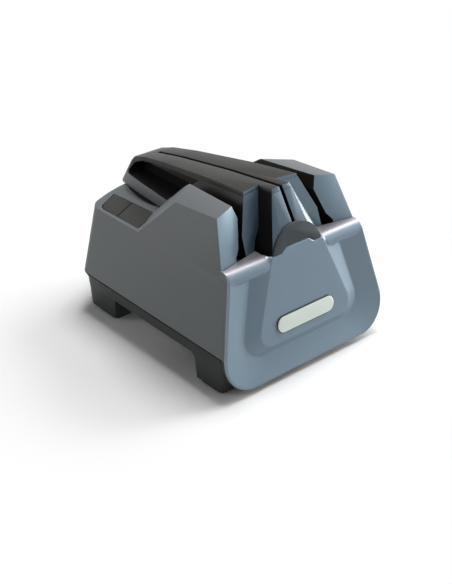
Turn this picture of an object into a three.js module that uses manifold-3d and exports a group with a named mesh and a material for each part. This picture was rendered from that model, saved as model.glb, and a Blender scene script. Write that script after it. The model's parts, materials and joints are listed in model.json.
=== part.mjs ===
// Belt knife sharpener for the kitchen counter: moulded housing on a tray with four legs, a dished
// front cover with two blade rests, a lift-off blade guide with a honing slot, and inside it an
// abrasive belt round four pulleys, a sprung tension arm, a transfer belt and a small motor.
// Millimetres, +Z up, +Y from the front cover to the back. The model is drawn with y = 0 at the
// front cover's foot and z = 0 on the counter, and then centred along y.

import * as THREE from 'three';
import { ConvexGeometry } from 'three/addons/geometries/ConvexGeometry.js';
import { mergeVertices } from 'three/addons/utils/BufferGeometryUtils.js';
import Module from 'manifold-3d';

const wasm = await Module();
wasm.setup();

// Clearances and cutting
const seatGap = 0.3;
const runGap = 0.4;
const overrun = 5;
const farAway = 400;
const beltGap = 0.3;

// Housing
const bodyLength = 169.6;
const deckHeight = 70.9;
const deckHalfWidth = 54.2;
const deckThickness = 4;
const wall = 2.4;
const seamHeight = 26.8;
const sideLeanShare = 0.235;
const rearLeanShare = 0.155;
const rearBulge = 14.8;
const rearCornerRadius = 12;
const cornerSteps = 4;
const rearSteps = 8;

// Housing shoulders beside the knife slots
const shoulderRise = 41.8;
const shoulderPeak = deckHeight + shoulderRise;
const shoulderSideShare = 0.172;
const shoulderBackShare = 0.071;
const shoulderSlopeSetback = 34.1;
const shoulderSlopeFoot = bodyLength - shoulderSlopeSetback;
const shoulderSlopeSideShare = 0.681;
const shoulderSlopeShare = 1.171;
const slotTopShare = 0.6162;
const slotTopHalf = deckHalfWidth * slotTopShare;
const slotTopDrop = 8.3;
const slotTopHeight = shoulderPeak - slotTopDrop;
const slotLipShare = 0.5664;
const slotLipHalf = deckHalfWidth * slotLipShare;
const slotLipDrop = 15.8;
const slotLipHeight = shoulderPeak - slotLipDrop;
const slotKneeShare = 0.6476;
const slotKneeHalf = deckHalfWidth * slotKneeShare;
const slotKneeRise = 10.8;
const slotKneeHeight = deckHeight + slotKneeRise;
const slotFootShare = 0.714;
const slotFootHalf = deckHalfWidth * slotFootShare;
const slotFootRise = 6.5;
const slotFootHeight = deckHeight + slotFootRise;
const toeShare = 0.084;

// Front facets, from the rests up
const restRise = 4.8;
const restHeight = deckHeight + restRise;
const facetFoot = 32.1;
const facetToeShare = 0.196;
const facetLeanShare = 0.368;

// Front cover
const coverFoot = 3.5;
const coverLeanShare = 0.205;
const coverFlare = 15.8;
const coverTopTuck = 0.8;
const coverFootHalf = deckHalfWidth + coverFlare;
const coverTopHalf = deckHalfWidth - coverTopTuck;
const coverThickness = 2.9;
const coverCornerRadius = 20;
const coverTopRadius = 3;
const coverRim = 1.6;
const valleyDepth = 3.2;
const valleyFoot = 18.2;
const valleyFootShare = 0.7086;
const valleyTopShare = 0.6386;
const valleyFootHalf = coverFootHalf * valleyFootShare;
const valleyTopHalf = coverTopHalf * valleyTopShare;
const valleyRadius = 13;
const panelFoot = 24.2;
const panelFootShare = 0.5714;
const panelTopShare = 0.3764;
const panelFootHalf = coverFootHalf * panelFootShare;
const panelTopHalf = coverTopHalf * panelTopShare;
const panelRadius = 8;
const tabShare = 0.453;
const tabFootShare = 0.657;
const tabHalf = panelTopHalf * tabShare;
const tabFootHalf = panelTopHalf * tabFootShare;
const tabRise = 2.9;
const dishProudShare = 1.3;
const dishBackMargin = 9.6;
const dishBackDepth = 5.4;
const frontWindowMargin = 9;
const outlineSteps = 5;

// Blade rests at the top of the front cover
const restInnerGap = 2.3;
const restInnerHalf = panelTopHalf + restInnerGap;
const restDepth = 9.4;
const restLedgeRise = 0.3;
const restBottom = restHeight - restDepth;
const restLedge = deckHeight + restLedgeRise;
const restRoundRadius = 4.5;
const restRoundSteps = 5;
const badgeLength = 47;
const badgeWidth = 10.6;
const badgeThickness = 0.8;
const badgeHeight = 34.2;
const badgeSteps = 8;

// Base tray, legs and feet
const trayUnder = 19;
const trayFloor = 2.4;
const traySkirt = 2.3;
const trayTuck = 3;
const trayTuckHeight = 22.5;
const trayFront = 10.6;
const tuckShare = 0.8;
const trayFrontRadius = 2.5;
const legWidth = 13.2;
const legInnerHalf = deckHalfWidth - legWidth;
const frontLegTuck = -1.2;
const rearLegTuck = 1.2;
const frontLegBack = 33;
const frontLegReach = 50;
const frontLegFillet = 9;
const frontLegLean = 3.5;
const frontLegStep = 1.2;
const rearLegSetback = 50.6;
const rearLegLength = 22;
const rearLegLean = 2;
const rearLegFront = bodyLength - rearLegSetback;
const rearLegBack = rearLegFront + rearLegLength;
const padThickness = 2;
const padInset = 1.2;
const padCorner = 3;
const padSteps = 3;
const screwWell = 3.4;
const ventCount = 5;
const ventPitch = 9;
const ventWidth = 3;
const ventLength = 34;
const ventStart = 72;

// Machine room between the tray and the deck
const cavityTop = deckHeight - deckThickness;
const trayTop = trayUnder + trayFloor;
const roomMiddle = (trayTop + cavityTop) / 2;

// Blade guide
const guideFront = 30;
const guideLead = 16;
const guideSetback = 3.2;
const guideBack = bodyLength - guideSetback;
const guideRise = 38.5;
const guideTop = deckHeight + guideRise;
const guideClearance = 0.5;
const guideTopShare = 0.7152;
const guideRearShare = 0.3536;
const guideFootHalf = slotLipHalf - guideClearance;
const guideTopHalf = guideFootHalf * guideTopShare;
const guideTopHalfRear = guideFootHalf * guideRearShare;
const guideKneeRise = 15.4;
const guideKneeHeight = deckHeight + guideKneeRise;
const guideCoverThickness = 2;
const guideProfileShares = [[0, 1], [0.334, 0.87], [0.692, 0.683], [0.856, 0.571], [0.943, 0.474],
  [0.981, 0.35], [1, 0.14]];
const guideKneeShares = [1, 0.62, 0.3, 0.2, 0.2, 0.2, 0.2];
const guideEndShares = [1, 1, 1, 1, 0.98, 0.94, 0.88];
const skinSections = 5;
const pocketShares = [[0.5921, 0.19], [0.3902, 0.756], [0.5795, 0.673], [0.7775, 0.564], [0.8639, 0.499],
  [0.922, 0.408], [0.957, 0.25], [0.948, 0.192]];
const pocketWebShare = 0.1523;
const pocketLedgeShare = 0.3113;
const pocketWebHalf = guideFootHalf * pocketWebShare;
const pocketShelfHalf = guideFootHalf * pocketLedgeShare;
const pocketShelfShare = 0.46;
const slitWidth = 2.5;
const slitFloorRise = 17.5;
const slitFloor = deckHeight + slitFloorRise;
const slitEnd = 19.4;
const slitBack = guideBack - slitEnd;
const recessTopShare = 0.25;
const recessFootShare = 0.755;
const recessTopHalf = guideTopHalf * recessTopShare;
const recessFootHalf = guideFootHalf * recessFootShare;
const recessBack = 32.9;
const recessBackTop = 42;
const recessKneeRise = 16.1;
const recessKnee = deckHeight + recessKneeRise;
const noseTopShare = 0.324;
const noseTopHalf = guideTopHalf * noseTopShare;
const noseTopFront = 31;
const noseBack = 46;
const noseSpread = 75;
const discRadius = panelTopHalf;
const discThickness = 1.2;
const discSteps = 14;
const scoopHalfWidth = 8.3;
const scoopHalfLength = 24;
const scoopDepth = 2.6;
const scoopSteps = 20;
const scoopShare = 0.3616;
const scoopSetback = 33.6;
const scoopOffset = deckHalfWidth * scoopShare;
const scoopPlace = bodyLength - scoopSetback;

// Honing rods in the guide's slit
const honeRadius = 1.6;
const honeLength = 19;
const honeTilt = 20;
const honePlace = 61;
const honePitch = 4.4;
const honeRise = 22.1;
const honeHeight = deckHeight + honeRise;

// Power rocker on the left deck
const rockerSideInset = 12.8;
const rockerSetback = 41.8;
const rockerCentre = [rockerSideInset - deckHalfWidth, bodyLength - rockerSetback];
const rockerFrontOuter = [-9.5, -24.7];
const rockerFrontInner = [10.5, -14.9];
const rockerRearInner = [8.2, 24.4];
const rockerRearOuter = [-10.2, 13.7];
const rockerCornerRadius = 9;
const rockerSmallRadius = 0.8;
const rockerTurn = 26.8;
const rockerDepth = 7.5;
const rockerGap = 0.55;
const pivotDrop = 4.7;
const pivotHeight = deckHeight - pivotDrop;
const pivotRadius = 1;
const pivotHalfLength = 14;
const earLength = 2.2;
const earHalf = 2.3;
const earEnd = 1.5;

// Belt and its four pulleys, places in the xz plane
const beltWidth = 12.7;
const beltThickness = 0.8;
const beltFront = 34.4;
const beltOverhang = 1.6;
const idlerRadius = 5;
const idlerShare = 0.7351;
const idlerHalf = guideFootHalf * idlerShare;
const idlerRise = 8.6;
const idlerHeight = deckHeight + idlerRise;
const pulleyRadius = 9;
const pulleyInset = 12.5;
const pulleyHalf = deckHalfWidth - pulleyInset;
const pulleyRise = 5.85;
const pulleyHeight = roomMiddle + pulleyRise;
const axleRadius = 2;
const pulleySteps = 24;
const axleSteps = 12;
const arcSteps = 7;

// Frame that carries the pulleys
const frameFront = 51.5;
const frameThickness = 2.5;
const frameInset = 3.7;
const frameHalf = deckHalfWidth - frameInset;
const frameShoulderRise = 11;
const frameShoulder = pulleyHeight + frameShoulderRise;
const frameNeckMargin = 4.3;
const frameNeckHalf = idlerHalf + frameNeckMargin;
const frameTopRise = 4.5;
const frameTop = idlerHeight + frameTopRise;
const frameFlange = 12;
const frameScrewInset = 14.5;
const frameScrewHalf = frameHalf - frameScrewInset;
const frameScrewY = frameFront + frameThickness + frameFlange / 2;
const frameScrewSkin = 0.6;

// Tension arm
const armReach = 8.4;
const armPivotShare = 0.367;
const armPivotHeight = trayTop + (pulleyHeight - trayTop) * armPivotShare;
const armPivot = [armReach - pulleyHalf, armPivotHeight];
const armFront = 47.7;
const armThickness = 3;
const armEndRadius = 5.2;
const armTipRadius = 4.2;
const armBossRadius = 4.2;
const armBossLength = 6;
const springWire = 0.9;
const springRadius = 5.4;
const springPitch = 1.45;
const springTurns = 3.5;
const springSides = 6;
const springStepsPerTurn = 10;
const springLeg = 6;
const springLegSteps = 4;

// Transfer belt from the motor
const transferFront = 56;
const transferWidth = 6;
const transferThickness = 0.9;
const drivenRadius = 9;
const motorPulleyRadius = 5;
const shaftRadius = 3;
const bearingRadius = 5;
const bearingStandoff = 0.8;
const flangeRise = 1.6;
const flangeWidth = 0.9;

// Motor
const motorX = 6;
const motorSlack = 4.75;
const motorTopRoom = 5.9;
const motorRadius = roomMiddle - trayTop - motorSlack;
const motorHeight = cavityTop - motorTopRoom - motorRadius;
const motorFront = 67;
const motorRearRoom = 48.6;
const motorLength = bodyLength - motorFront - motorRearRoom;
const motorWall = 1.4;
const motorSteps = 32;
const motorShaftRadius = 1.6;
const armatureGap = 4.1;
const armatureRadius = motorRadius - motorWall - armatureGap;
const armatureMargin = 6;
const endCapThickness = 2.6;
const fanInset = 3;
const fanRadius = motorRadius - fanInset;
const fanHub = 4;
const fanDepth = 6;
const fanDisc = 1.2;
const fanBlades = 8;
const fanBladeThickness = 1.2;
const cradleSide = 4;
const cradleDrop = 7;
const cradleHalf = motorRadius + cradleSide;
const cradleHeight = motorHeight - cradleDrop;
const cradleMargin = 8;
const strapLength = 10;
const strapThickness = 1.6;

// Control board, power inlet and fasteners
const boardThickness = 1.6;
const keyHeight = 3;
const keyTravel = 2.1;
const boardHeight = deckHeight - rockerDepth - keyTravel - keyHeight - seatGap - boardThickness;
const boardSideInset = 2.7;
const boardWidth = 36.5;
const boardAhead = 18.8;
const boardBehind = 20.2;
const boardLeft = boardSideInset - deckHalfWidth;
const boardRight = boardLeft + boardWidth;
const boardFront = rockerCentre[1] - boardAhead;
const boardBack = rockerCentre[1] + boardBehind;
const boardPostRadius = 2.6;
const boardPostSide = 4.5;
const boardPostX = boardRight - boardPostSide;
const boardPostInset = 6;
const keyHalf = 3;
const keyReach = 13;
const inletX = 22;
const inletRise = 0.85;
const inletHeight = roomMiddle + inletRise;
const inletHalf = 6;
const inletLength = 14;
const inletNoseRadius = 4.6;
const inletBore = 3;
const inletBoreDepth = 9;
const inletPinRadius = 1;
const inletPinDepth = 1.5;
const columnRadius = 3.5;
const columnHalf = deckHalfWidth;
const columnFront = 20.5;
const columnSetback = 39.6;
const columnBack = bodyLength - columnSetback;
const columnTopDrop = 16.9;
const columnTop = deckHeight - columnTopDrop;
const screwRadius = 1.5;
const screwHeadRadius = 2.8;
const screwHeadHeight = 2;
const baseScrewLength = 12;
const coverScrewInset = 13;
const coverScrewHalf = coverFootHalf - coverScrewInset;
const coverScrewHead = 2.2;
const coverScrewBite = 1.3;
const screwSeat = trayUnder - wall - seatGap - screwHeadHeight;
const coverScrewHeight = 36;

// Places worked out from the sizes above

const slotBackX = guideFootHalf - toeShare * (guideBack - guideFront);
const deckRear = bodyLength - rearLeanShare * (deckHeight - seamHeight);
const rearBulgeShare = rearBulge / deckHalfWidth ** 2;
const guideSeat = deckHeight + seatGap;
const frameBack = frameFront + frameThickness;
const skinEnd = guideFront + (guideBack - guideFront) * guideProfileShares[4][0];
const motorBack = motorFront + motorLength;
const everywhere = [-farAway, farAway];

function sideAt(z) {
  return deckHalfWidth + sideLeanShare * (deckHeight - z);
}

function rearAt(x, z) {
  return deckRear + rearLeanShare * (deckHeight - z) - rearBulgeShare * x * x;
}

function coverAt(z) {
  return coverLeanShare * (z - coverFoot);
}

function mix(from, to, share) {
  return from + (to - from) * share;
}

// Helpers

function asSolid(geometry) {
  const bare = geometry.clone();
  bare.deleteAttribute('normal');
  bare.deleteAttribute('uv');
  const merged = mergeVertices(bare);
  return new wasm.Manifold(new wasm.Mesh({
    numProp: 3,
    vertProperties: new Float32Array(merged.attributes.position.array),
    triVerts: new Uint32Array(merged.index.array),
  }));
}

function block([x0, x1], [y0, y1], [z0, z1]) {
  const box = new THREE.BoxGeometry(x1 - x0, y1 - y0, z1 - z0);
  return asSolid(box.translate((x0 + x1) / 2, (y0 + y1) / 2, (z0 + z1) / 2));
}

function hull(points) {
  return asSolid(new ConvexGeometry(points.map((p) => new THREE.Vector3(...p))));
}

function flatShape(points) {
  return new THREE.Shape(points.map((p) => new THREE.Vector2(...p)));
}

function extruded(points, depth, holes = []) {
  const shape = flatShape(points);
  shape.holes = holes.map((hole) => new THREE.Path(hole.map((p) => new THREE.Vector2(...p))));
  return new THREE.ExtrudeGeometry(shape, { depth, bevelEnabled: false });
}

// Outline in the yz plane, carried along x
function alongX(points, x0, x1) {
  const turn = new THREE.Matrix4().makeBasis(
    new THREE.Vector3(0, 1, 0), new THREE.Vector3(0, 0, 1), new THREE.Vector3(1, 0, 0));
  return asSolid(extruded(points, x1 - x0).applyMatrix4(turn).translate(x0, 0, 0));
}

// Outline in the xz plane, carried along y
function alongY(points, y0, y1, holes = []) {
  const turn = new THREE.Matrix4().makeBasis(
    new THREE.Vector3(1, 0, 0), new THREE.Vector3(0, 0, 1), new THREE.Vector3(0, -1, 0));
  return asSolid(extruded(points, y1 - y0, holes).applyMatrix4(turn).translate(0, y1, 0));
}

// Outline in the xy plane, carried along z
function alongZ(points, z0, z1) {
  return asSolid(extruded(points, z1 - z0).translate(0, 0, z0));
}

function rodY(radius, x, z, y0, y1, steps = axleSteps) {
  const rod = new THREE.CylinderGeometry(radius, radius, y1 - y0, steps);
  return asSolid(rod.translate(x, (y0 + y1) / 2, z));
}

function rodZ(radius, x, y, z0, z1, steps = axleSteps) {
  const rod = new THREE.CylinderGeometry(radius, radius, z1 - z0, steps).rotateX(Math.PI / 2);
  return asSolid(rod.translate(x, y, (z0 + z1) / 2));
}

// Everything on the far side of a plane, as a very large block standing on it
function beyond(point, normal) {
  const box = new THREE.BoxGeometry(2 * farAway, 2 * farAway, farAway).translate(0, 0, farAway / 2);
  const up = new THREE.Vector3(0, 0, 1);
  const turn = new THREE.Quaternion().setFromUnitVectors(up, new THREE.Vector3(...normal).normalize());
  return asSolid(box.applyQuaternion(turn).translate(...point));
}

// Closed body through a row of rings of equally many points; dropped is the axis left out of its caps
function loft(rings, dropped) {
  const count = rings[0].length;
  const flat = (p) => new THREE.Vector2(...p.filter((_, axis) => axis !== dropped));
  const triangles = [];
  for (let ring = 0; ring + 1 < rings.length; ring += 1) {
    for (let i = 0; i < count; i += 1) {
      const a = ring * count + i;
      const b = ring * count + ((i + 1) % count);
      triangles.push(a, b, b + count, a, b + count, a + count);
    }
  }
  const first = THREE.ShapeUtils.triangulateShape(rings[0].map(flat), []);
  const last = THREE.ShapeUtils.triangulateShape(rings.at(-1).map(flat), []);
  const start = (rings.length - 1) * count;
  const clockwise = THREE.ShapeUtils.area(rings[0].map(flat)) < 0;
  for (const [a, b, c] of first) triangles.push(...(clockwise ? [a, b, c] : [c, b, a]));
  const lastClockwise = THREE.ShapeUtils.area(rings.at(-1).map(flat)) < 0;
  for (const [a, b, c] of last) {
    const face = lastClockwise ? [c, b, a] : [a, b, c];
    triangles.push(...face.map((v) => v + start));
  }
  const geometry = new THREE.BufferGeometry();
  geometry.setAttribute('position', new THREE.Float32BufferAttribute(rings.flat(2), 3));
  geometry.setIndex(triangles);
  return asSolid(signedVolume(geometry) < 0 ? turnedOut(geometry) : geometry);
}

function signedVolume(geometry) {
  const at = (i) => new THREE.Vector3().fromBufferAttribute(geometry.attributes.position, i);
  const index = geometry.index.array;
  let volume = 0;
  for (let i = 0; i < index.length; i += 3) {
    volume += at(index[i]).dot(at(index[i + 1]).cross(at(index[i + 2])));
  }
  return volume;
}

function turnedOut(geometry) {
  const index = Array.from(geometry.index.array);
  for (let i = 0; i < index.length; i += 3) [index[i], index[i + 1]] = [index[i + 1], index[i]];
  geometry.setIndex(index);
  return geometry;
}

function mirrored(solid) {
  return solid.mirror([1, 0, 0]);
}

function bothSides(solid) {
  return solid.add(mirrored(solid));
}

// Outline with each corner rounded by its own radius
function roundedOutline(corners, radii, steps) {
  const points = [];
  corners.forEach((corner, i) => {
    if (radii[i] === 0) {
      points.push(corner);
      return;
    }
    const here = new THREE.Vector2(...corner);
    const before = new THREE.Vector2(...corners.at(i - 1)).sub(here).normalize();
    const after = new THREE.Vector2(...corners[(i + 1) % corners.length]).sub(here).normalize();
    const half = Math.acos(before.dot(after)) / 2;
    const inward = before.clone().add(after).normalize();
    const centre = here.clone().addScaledVector(inward, radii[i] / Math.sin(half));
    const start = before.multiplyScalar(radii[i] / Math.tan(half)).add(here).sub(centre);
    const end = after.multiplyScalar(radii[i] / Math.tan(half)).add(here).sub(centre);
    const sweep = Math.atan2(start.cross(end), start.dot(end));
    for (let step = 0; step <= steps; step += 1) {
      const turned = start.clone().rotateAround(new THREE.Vector2(0, 0), (sweep * step) / steps);
      points.push([turned.x + centre.x, turned.y + centre.y]);
    }
  });
  return points;
}

function between(from, to, share) {
  return from.map((p, i) => p.map((value, axis) => value + (to[i][axis] - value) * share));
}

// Outline round a row of circles [x, z, radius], given counterclockwise, as a belt lies on them
function beltOutline(circles, offset) {
  const grown = circles.map(([x, z, radius]) => [x, z, radius + offset]);
  const normals = grown.map(([x, z, radius], i) => {
    const [nextX, nextZ, nextRadius] = grown[(i + 1) % grown.length];
    const span = Math.hypot(nextX - x, nextZ - z);
    return Math.atan2(nextZ - z, nextX - x) - Math.acos((radius - nextRadius) / span);
  });
  const points = [];
  grown.forEach(([x, z, radius], i) => {
    const from = normals.at(i - 1);
    let to = normals[i];
    while (to < from) to += 2 * Math.PI;
    while (to - from > 2 * Math.PI) to -= 2 * Math.PI;
    for (let step = 0; step <= arcSteps; step += 1) {
      const angle = from + ((to - from) * step) / arcSteps;
      points.push([x + radius * Math.cos(angle), z + radius * Math.sin(angle)]);
    }
  });
  return points;
}

function mesh(name, solid, colour, roughness, metalness = 0) {
  const data = solid.getMesh();
  const geometry = new THREE.BufferGeometry();
  geometry.setAttribute('position', new THREE.BufferAttribute(data.vertProperties, 3));
  geometry.setIndex(new THREE.BufferAttribute(data.triVerts, 1));
  geometry.computeVertexNormals();
  const material = new THREE.MeshStandardMaterial({ color: colour, roughness, metalness });
  const piece = new THREE.Mesh(geometry, material);
  piece.name = name;
  return piece;
}

const colours = {
  housing: 0x5a5f62,
  tray: 0x343b39,
  cover: 0x70859a,
  guide: 0x56666f,
  guideTop: 0x45423e,
  disc: 0x485254,
  rubber: 0x1c1c1c,
  badge: 0xd9e6de,
  rocker: 0x40403e,
  belt: 0x74331f,
  steel: 0xb4b8bc,
  darkSteel: 0x55585c,
  ceramic: 0xe9e7df,
  polymer: 0x2b2d30,
  board: 0x1e4d34,
};

// Plan outline of the body at one height: straight sides, rounded corners and a bowed back
function planRing(z, inset, shapeZ, front = -overrun, frontRadius = 0) {
  const half = sideAt(shapeZ) - inset;
  const radius = rearCornerRadius - inset;
  const sweep = Math.PI / 2 - Math.atan(2 * rearBulgeShare * (half - radius / 2));
  const lastX = half - radius * (1 - Math.cos(sweep));
  const centreY = rearAt(lastX, shapeZ) - inset - radius * Math.sin(sweep);
  const right = [];
  const frontSteps = frontRadius > 0 ? cornerSteps : 0;
  for (let step = 0; step <= frontSteps; step += 1) {
    const angle = (Math.PI / 2) * (step / Math.max(frontSteps, 1) - 1);
    right.push([half - frontRadius * (1 - Math.cos(angle)), front + frontRadius * (1 + Math.sin(angle))]);
  }
  if (frontSteps === 0) right[0] = [half, front];
  for (let step = 0; step <= cornerSteps; step += 1) {
    const angle = (sweep * step) / cornerSteps;
    right.push([half - radius * (1 - Math.cos(angle)), centreY + radius * Math.sin(angle)]);
  }
  for (let step = 1; step <= rearSteps / 2; step += 1) {
    const x = lastX * (1 - (2 * step) / rearSteps);
    right.push([x, rearAt(x, shapeZ) - inset]);
  }
  const left = right.slice(0, -1).reverse().map(([x, y]) => [-x, y]);
  return [...right, ...left].map(([x, y]) => [x, y, z]);
}

// Region in front of both facets, which toe in and lean back from their feet on the rests' line
function beforeFacets(offset, leanShare) {
  const point = [0, facetFoot + offset, restHeight];
  return beyond(point, [-facetToeShare, -1, leanShare]).intersect(
    beyond(point, [facetToeShare, -1, leanShare]));
}

function withCoverPlane(solid, depth) {
  return solid.subtract(beyond([0, depth, coverFoot], [0, -1, coverLeanShare]));
}

// Belt circles [x, z, radius] counterclockwise, and the line of the belt's outer side at a height
const beltCircles = [[pulleyHalf, pulleyHeight, pulleyRadius], [idlerHalf, idlerHeight, idlerRadius],
  [-idlerHalf, idlerHeight, idlerRadius], [-pulleyHalf, pulleyHeight, pulleyRadius]];

function beltLineAt(z, offset) {
  const run = [idlerHalf - pulleyHalf, idlerHeight - pulleyHeight];
  const turn = Math.acos((pulleyRadius - idlerRadius) / Math.hypot(...run));
  const normal = Math.atan2(run[1], run[0]) - turn;
  const reach = pulleyHalf * Math.cos(normal) + pulleyHeight * Math.sin(normal) + pulleyRadius + offset;
  return (reach - z * Math.sin(normal)) / Math.cos(normal);
}

// Front cover

function trapezoid(topZ, topHalf, footZ, footHalf, footRadius, topRadius) {
  const corners = [[topHalf, topZ], [-topHalf, topZ], [-footHalf, footZ], [footHalf, footZ]];
  return roundedOutline(corners, [topRadius, topRadius, footRadius, footRadius], outlineSteps);
}

function coverHalfAt(z) {
  return mix(coverFootHalf, coverTopHalf, (z - coverFoot) / (restHeight - coverFoot));
}

function coverOutline(inset, topZ = restHeight) {
  const foot = coverFoot + inset;
  return trapezoid(topZ, coverHalfAt(topZ) - inset, foot, coverHalfAt(foot) - inset,
    coverCornerRadius - inset / 2, coverTopRadius);
}

function lineAt(topHalf, footHalf, footZ, z) {
  return mix(footHalf, topHalf, (z - footZ) / (restHeight - footZ));
}

function valleyOutline(inset, topZ) {
  const foot = valleyFoot + inset;
  return trapezoid(topZ, lineAt(valleyTopHalf, valleyFootHalf, valleyFoot, topZ) - inset, foot,
    lineAt(valleyTopHalf, valleyFootHalf, valleyFoot, foot) - inset, valleyRadius, coverTopRadius);
}

function panelOutline(topZ) {
  return trapezoid(topZ, lineAt(panelTopHalf, panelFootHalf, panelFoot, topZ), panelFoot, panelFootHalf,
    panelRadius, coverTopRadius);
}

function onCover(outline, depth) {
  return outline.map(([x, z]) => [x, coverAt(z) + depth, z]);
}

function frontCover() {
  const tab = [[-tabFootHalf, restHeight - wall], [tabFootHalf, restHeight - wall],
    [tabFootHalf, restHeight], [tabHalf, restHeight + tabRise], [-tabHalf, restHeight + tabRise],
    [-tabFootHalf, restHeight]];
  const sheet = alongY(coverOutline(0), -overrun, facetFoot).add(alongY(tab, -overrun, facetFoot));
  const trimmed = withCoverPlane(sheet, 0);
  const slab = trimmed.subtract(beyond([0, coverThickness, coverFoot], [0, 1, -coverLeanShare]));
  const dishTop = restBottom + overrun / 2;
  const dishBack = loft([
    onCover(coverOutline(dishBackMargin, dishTop), coverThickness - seatGap),
    onCover(valleyOutline(-coverRim, dishTop), dishBackDepth)], 1);
  const topZ = restHeight + 2 * overrun;
  const rim = onCover(coverOutline(coverRim, topZ), 0);
  const valley = onCover(valleyOutline(0, topZ), valleyDepth);
  const panel = onCover(panelOutline(topZ), 0);
  const dish = loft([between(valley, rim, dishProudShare), valley], 1);
  const island = loft([between(valley, panel, dishProudShare),
    between(valley, panel, 1 - dishProudShare)], 1);
  const profile = roundedOutline([[coverAt(restLedge), restLedge], [facetFoot, restLedge],
    [facetFoot, restHeight], [coverAt(restHeight), restHeight]], [0, 0, 0, restRoundRadius],
  restRoundSteps);
  const apronTop = restLedge + wall;
  const apron = (depth, inset) => alongX([[coverAt(restBottom), restBottom],
    [coverAt(restBottom) + depth, restBottom], [coverAt(apronTop) + depth, apronTop],
    [coverAt(apronTop), apronTop]], restInnerHalf, coverFootHalf).intersect(
    alongY(coverOutline(inset), -overrun, facetFoot));
  const bar = alongX(profile, restInnerHalf, coverFootHalf).intersect(
    alongY(coverOutline(0), -overrun, facetFoot));
  const rest = bar.intersect(beforeFacets(-seatGap, 0)).add(
    apron(coverThickness, 0)).add(apron(dishBackDepth, dishBackMargin));
  let cover = slab.add(dishBack).subtract(dish.subtract(island)).add(bothSides(rest));
  for (const side of [-1, 1]) {
    cover = cover.subtract(rodY(screwRadius + seatGap, side * coverScrewHalf, coverScrewHeight,
      coverAt(coverScrewHeight) + coverThickness - coverScrewBite, facetFoot));
  }
  return cover;
}

function badgePlate() {
  const half = badgeLength / 2 - badgeWidth / 2;
  const outline = [];
  for (const side of [1, -1]) {
    for (let step = 0; step <= badgeSteps; step += 1) {
      const angle = side * (-Math.PI / 2) + (Math.PI * step) / badgeSteps;
      const x = side * half + (badgeWidth / 2) * Math.cos(angle);
      outline.push([x, badgeHeight + (badgeWidth / 2) * Math.sin(angle)]);
    }
  }
  return loft([onCover(outline, -seatGap / 2 - badgeThickness), onCover(outline, -seatGap / 2)], 1);
}

// Main housing

// One shoulder, on the right; inset draws all of its faces in by a wall
function shoulder(inset) {
  const bottom = cavityTop - overrun;
  const ringAt = (y) => {
    const shift = inset - toeShare * (y - guideFront);
    return [[slotFootHalf + shift, y, bottom], [slotFootHalf + shift, y, slotFootHeight],
      [slotKneeHalf + shift, y, slotKneeHeight], [slotLipHalf + shift, y, slotLipHeight],
      [slotTopHalf + shift, y, slotTopHeight], [slotTopHalf + shift, y, shoulderPeak],
      [sideAt(0), y, shoulderPeak], [sideAt(0), y, bottom]];
  };
  const slopeInset = inset * Math.hypot(1, shoulderSlopeShare);
  return loft([ringAt(0), ringAt(shoulderSlopeFoot)], 1)
    .subtract(beyond([0, 0, shoulderPeak - inset], [shoulderSideShare, shoulderBackShare, 1]))
    .subtract(beyond([deckHalfWidth - inset, 0, deckHeight], [1, 0, sideLeanShare]))
    .subtract(beyond([0, shoulderSlopeFoot - slopeInset, deckHeight],
      [shoulderSlopeSideShare, 1, shoulderSlopeShare]))
    .subtract(beforeFacets(inset, facetLeanShare))
    .subtract(beforeFacets(inset, 0));
}

function rockerOutline(inset) {
  const centre = new THREE.Vector2(...rockerCentre);
  const corners = [rockerFrontOuter, rockerFrontInner, rockerRearInner, rockerRearOuter].map((p) => {
    const arm = new THREE.Vector2(...p);
    return arm.multiplyScalar(1 - (inset * Math.SQRT2) / arm.length()).add(centre).toArray();
  });
  return roundedOutline(corners, [rockerSmallRadius, rockerSmallRadius, rockerSmallRadius,
    rockerCornerRadius], outlineSteps);
}

// A rod along the rocker's own pivot line, from one distance along it to another
function alongPivot(radius, from, to) {
  const rod = new THREE.CylinderGeometry(radius, radius, to - from, axleSteps).rotateZ(-Math.PI / 2);
  rod.translate((from + to) / 2, 0, 0).rotateZ(THREE.MathUtils.degToRad(rockerTurn));
  return asSolid(rod.translate(...rockerCentre, pivotHeight));
}

// An ear that hangs from the deck and carries one end of the pivot pin
function pivotEar(from, to) {
  const top = cavityTop + seatGap;
  const bottom = pivotHeight - earHalf;
  const ear = new THREE.BoxGeometry(to - from, 2 * earHalf, top - bottom);
  ear.translate((from + to) / 2, 0, 0).rotateZ(THREE.MathUtils.degToRad(rockerTurn));
  return asSolid(ear.translate(...rockerCentre, (top + bottom) / 2));
}

function scoop() {
  const ball = new THREE.SphereGeometry(1, scoopSteps, scoopSteps / 2);
  ball.scale(scoopHalfWidth, scoopHalfLength, 2 * scoopDepth);
  return asSolid(ball.translate(scoopOffset, scoopPlace, deckHeight + scoopDepth));
}

// Room round the belt and its frame between two heights, wider below like the belt's own run
function beltRoom(bottom, top, front, back) {
  const slack = beltThickness + 2 * runGap;
  const [low, high] = [beltLineAt(bottom, slack), beltLineAt(top, slack)];
  return alongY([[-low, bottom], [low, bottom], [high, top], [-high, top]], front, back);
}

function outerHousing() {
  const body = loft([planRing(seamHeight, 0, seamHeight), planRing(deckHeight, 0, deckHeight)], 2);
  const raised = bothSides(shoulder(0)).intersect(block(everywhere, everywhere, [cavityTop, farAway]));
  return withCoverPlane(body.add(raised), coverThickness + seatGap);
}

function innerHousing() {
  const lowest = seamHeight - overrun;
  const body = loft([planRing(lowest, wall, lowest), planRing(cavityTop, wall, cavityTop)], 2);
  return withCoverPlane(body.add(bothSides(shoulder(wall))), coverThickness + seatGap + wall);
}

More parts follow.
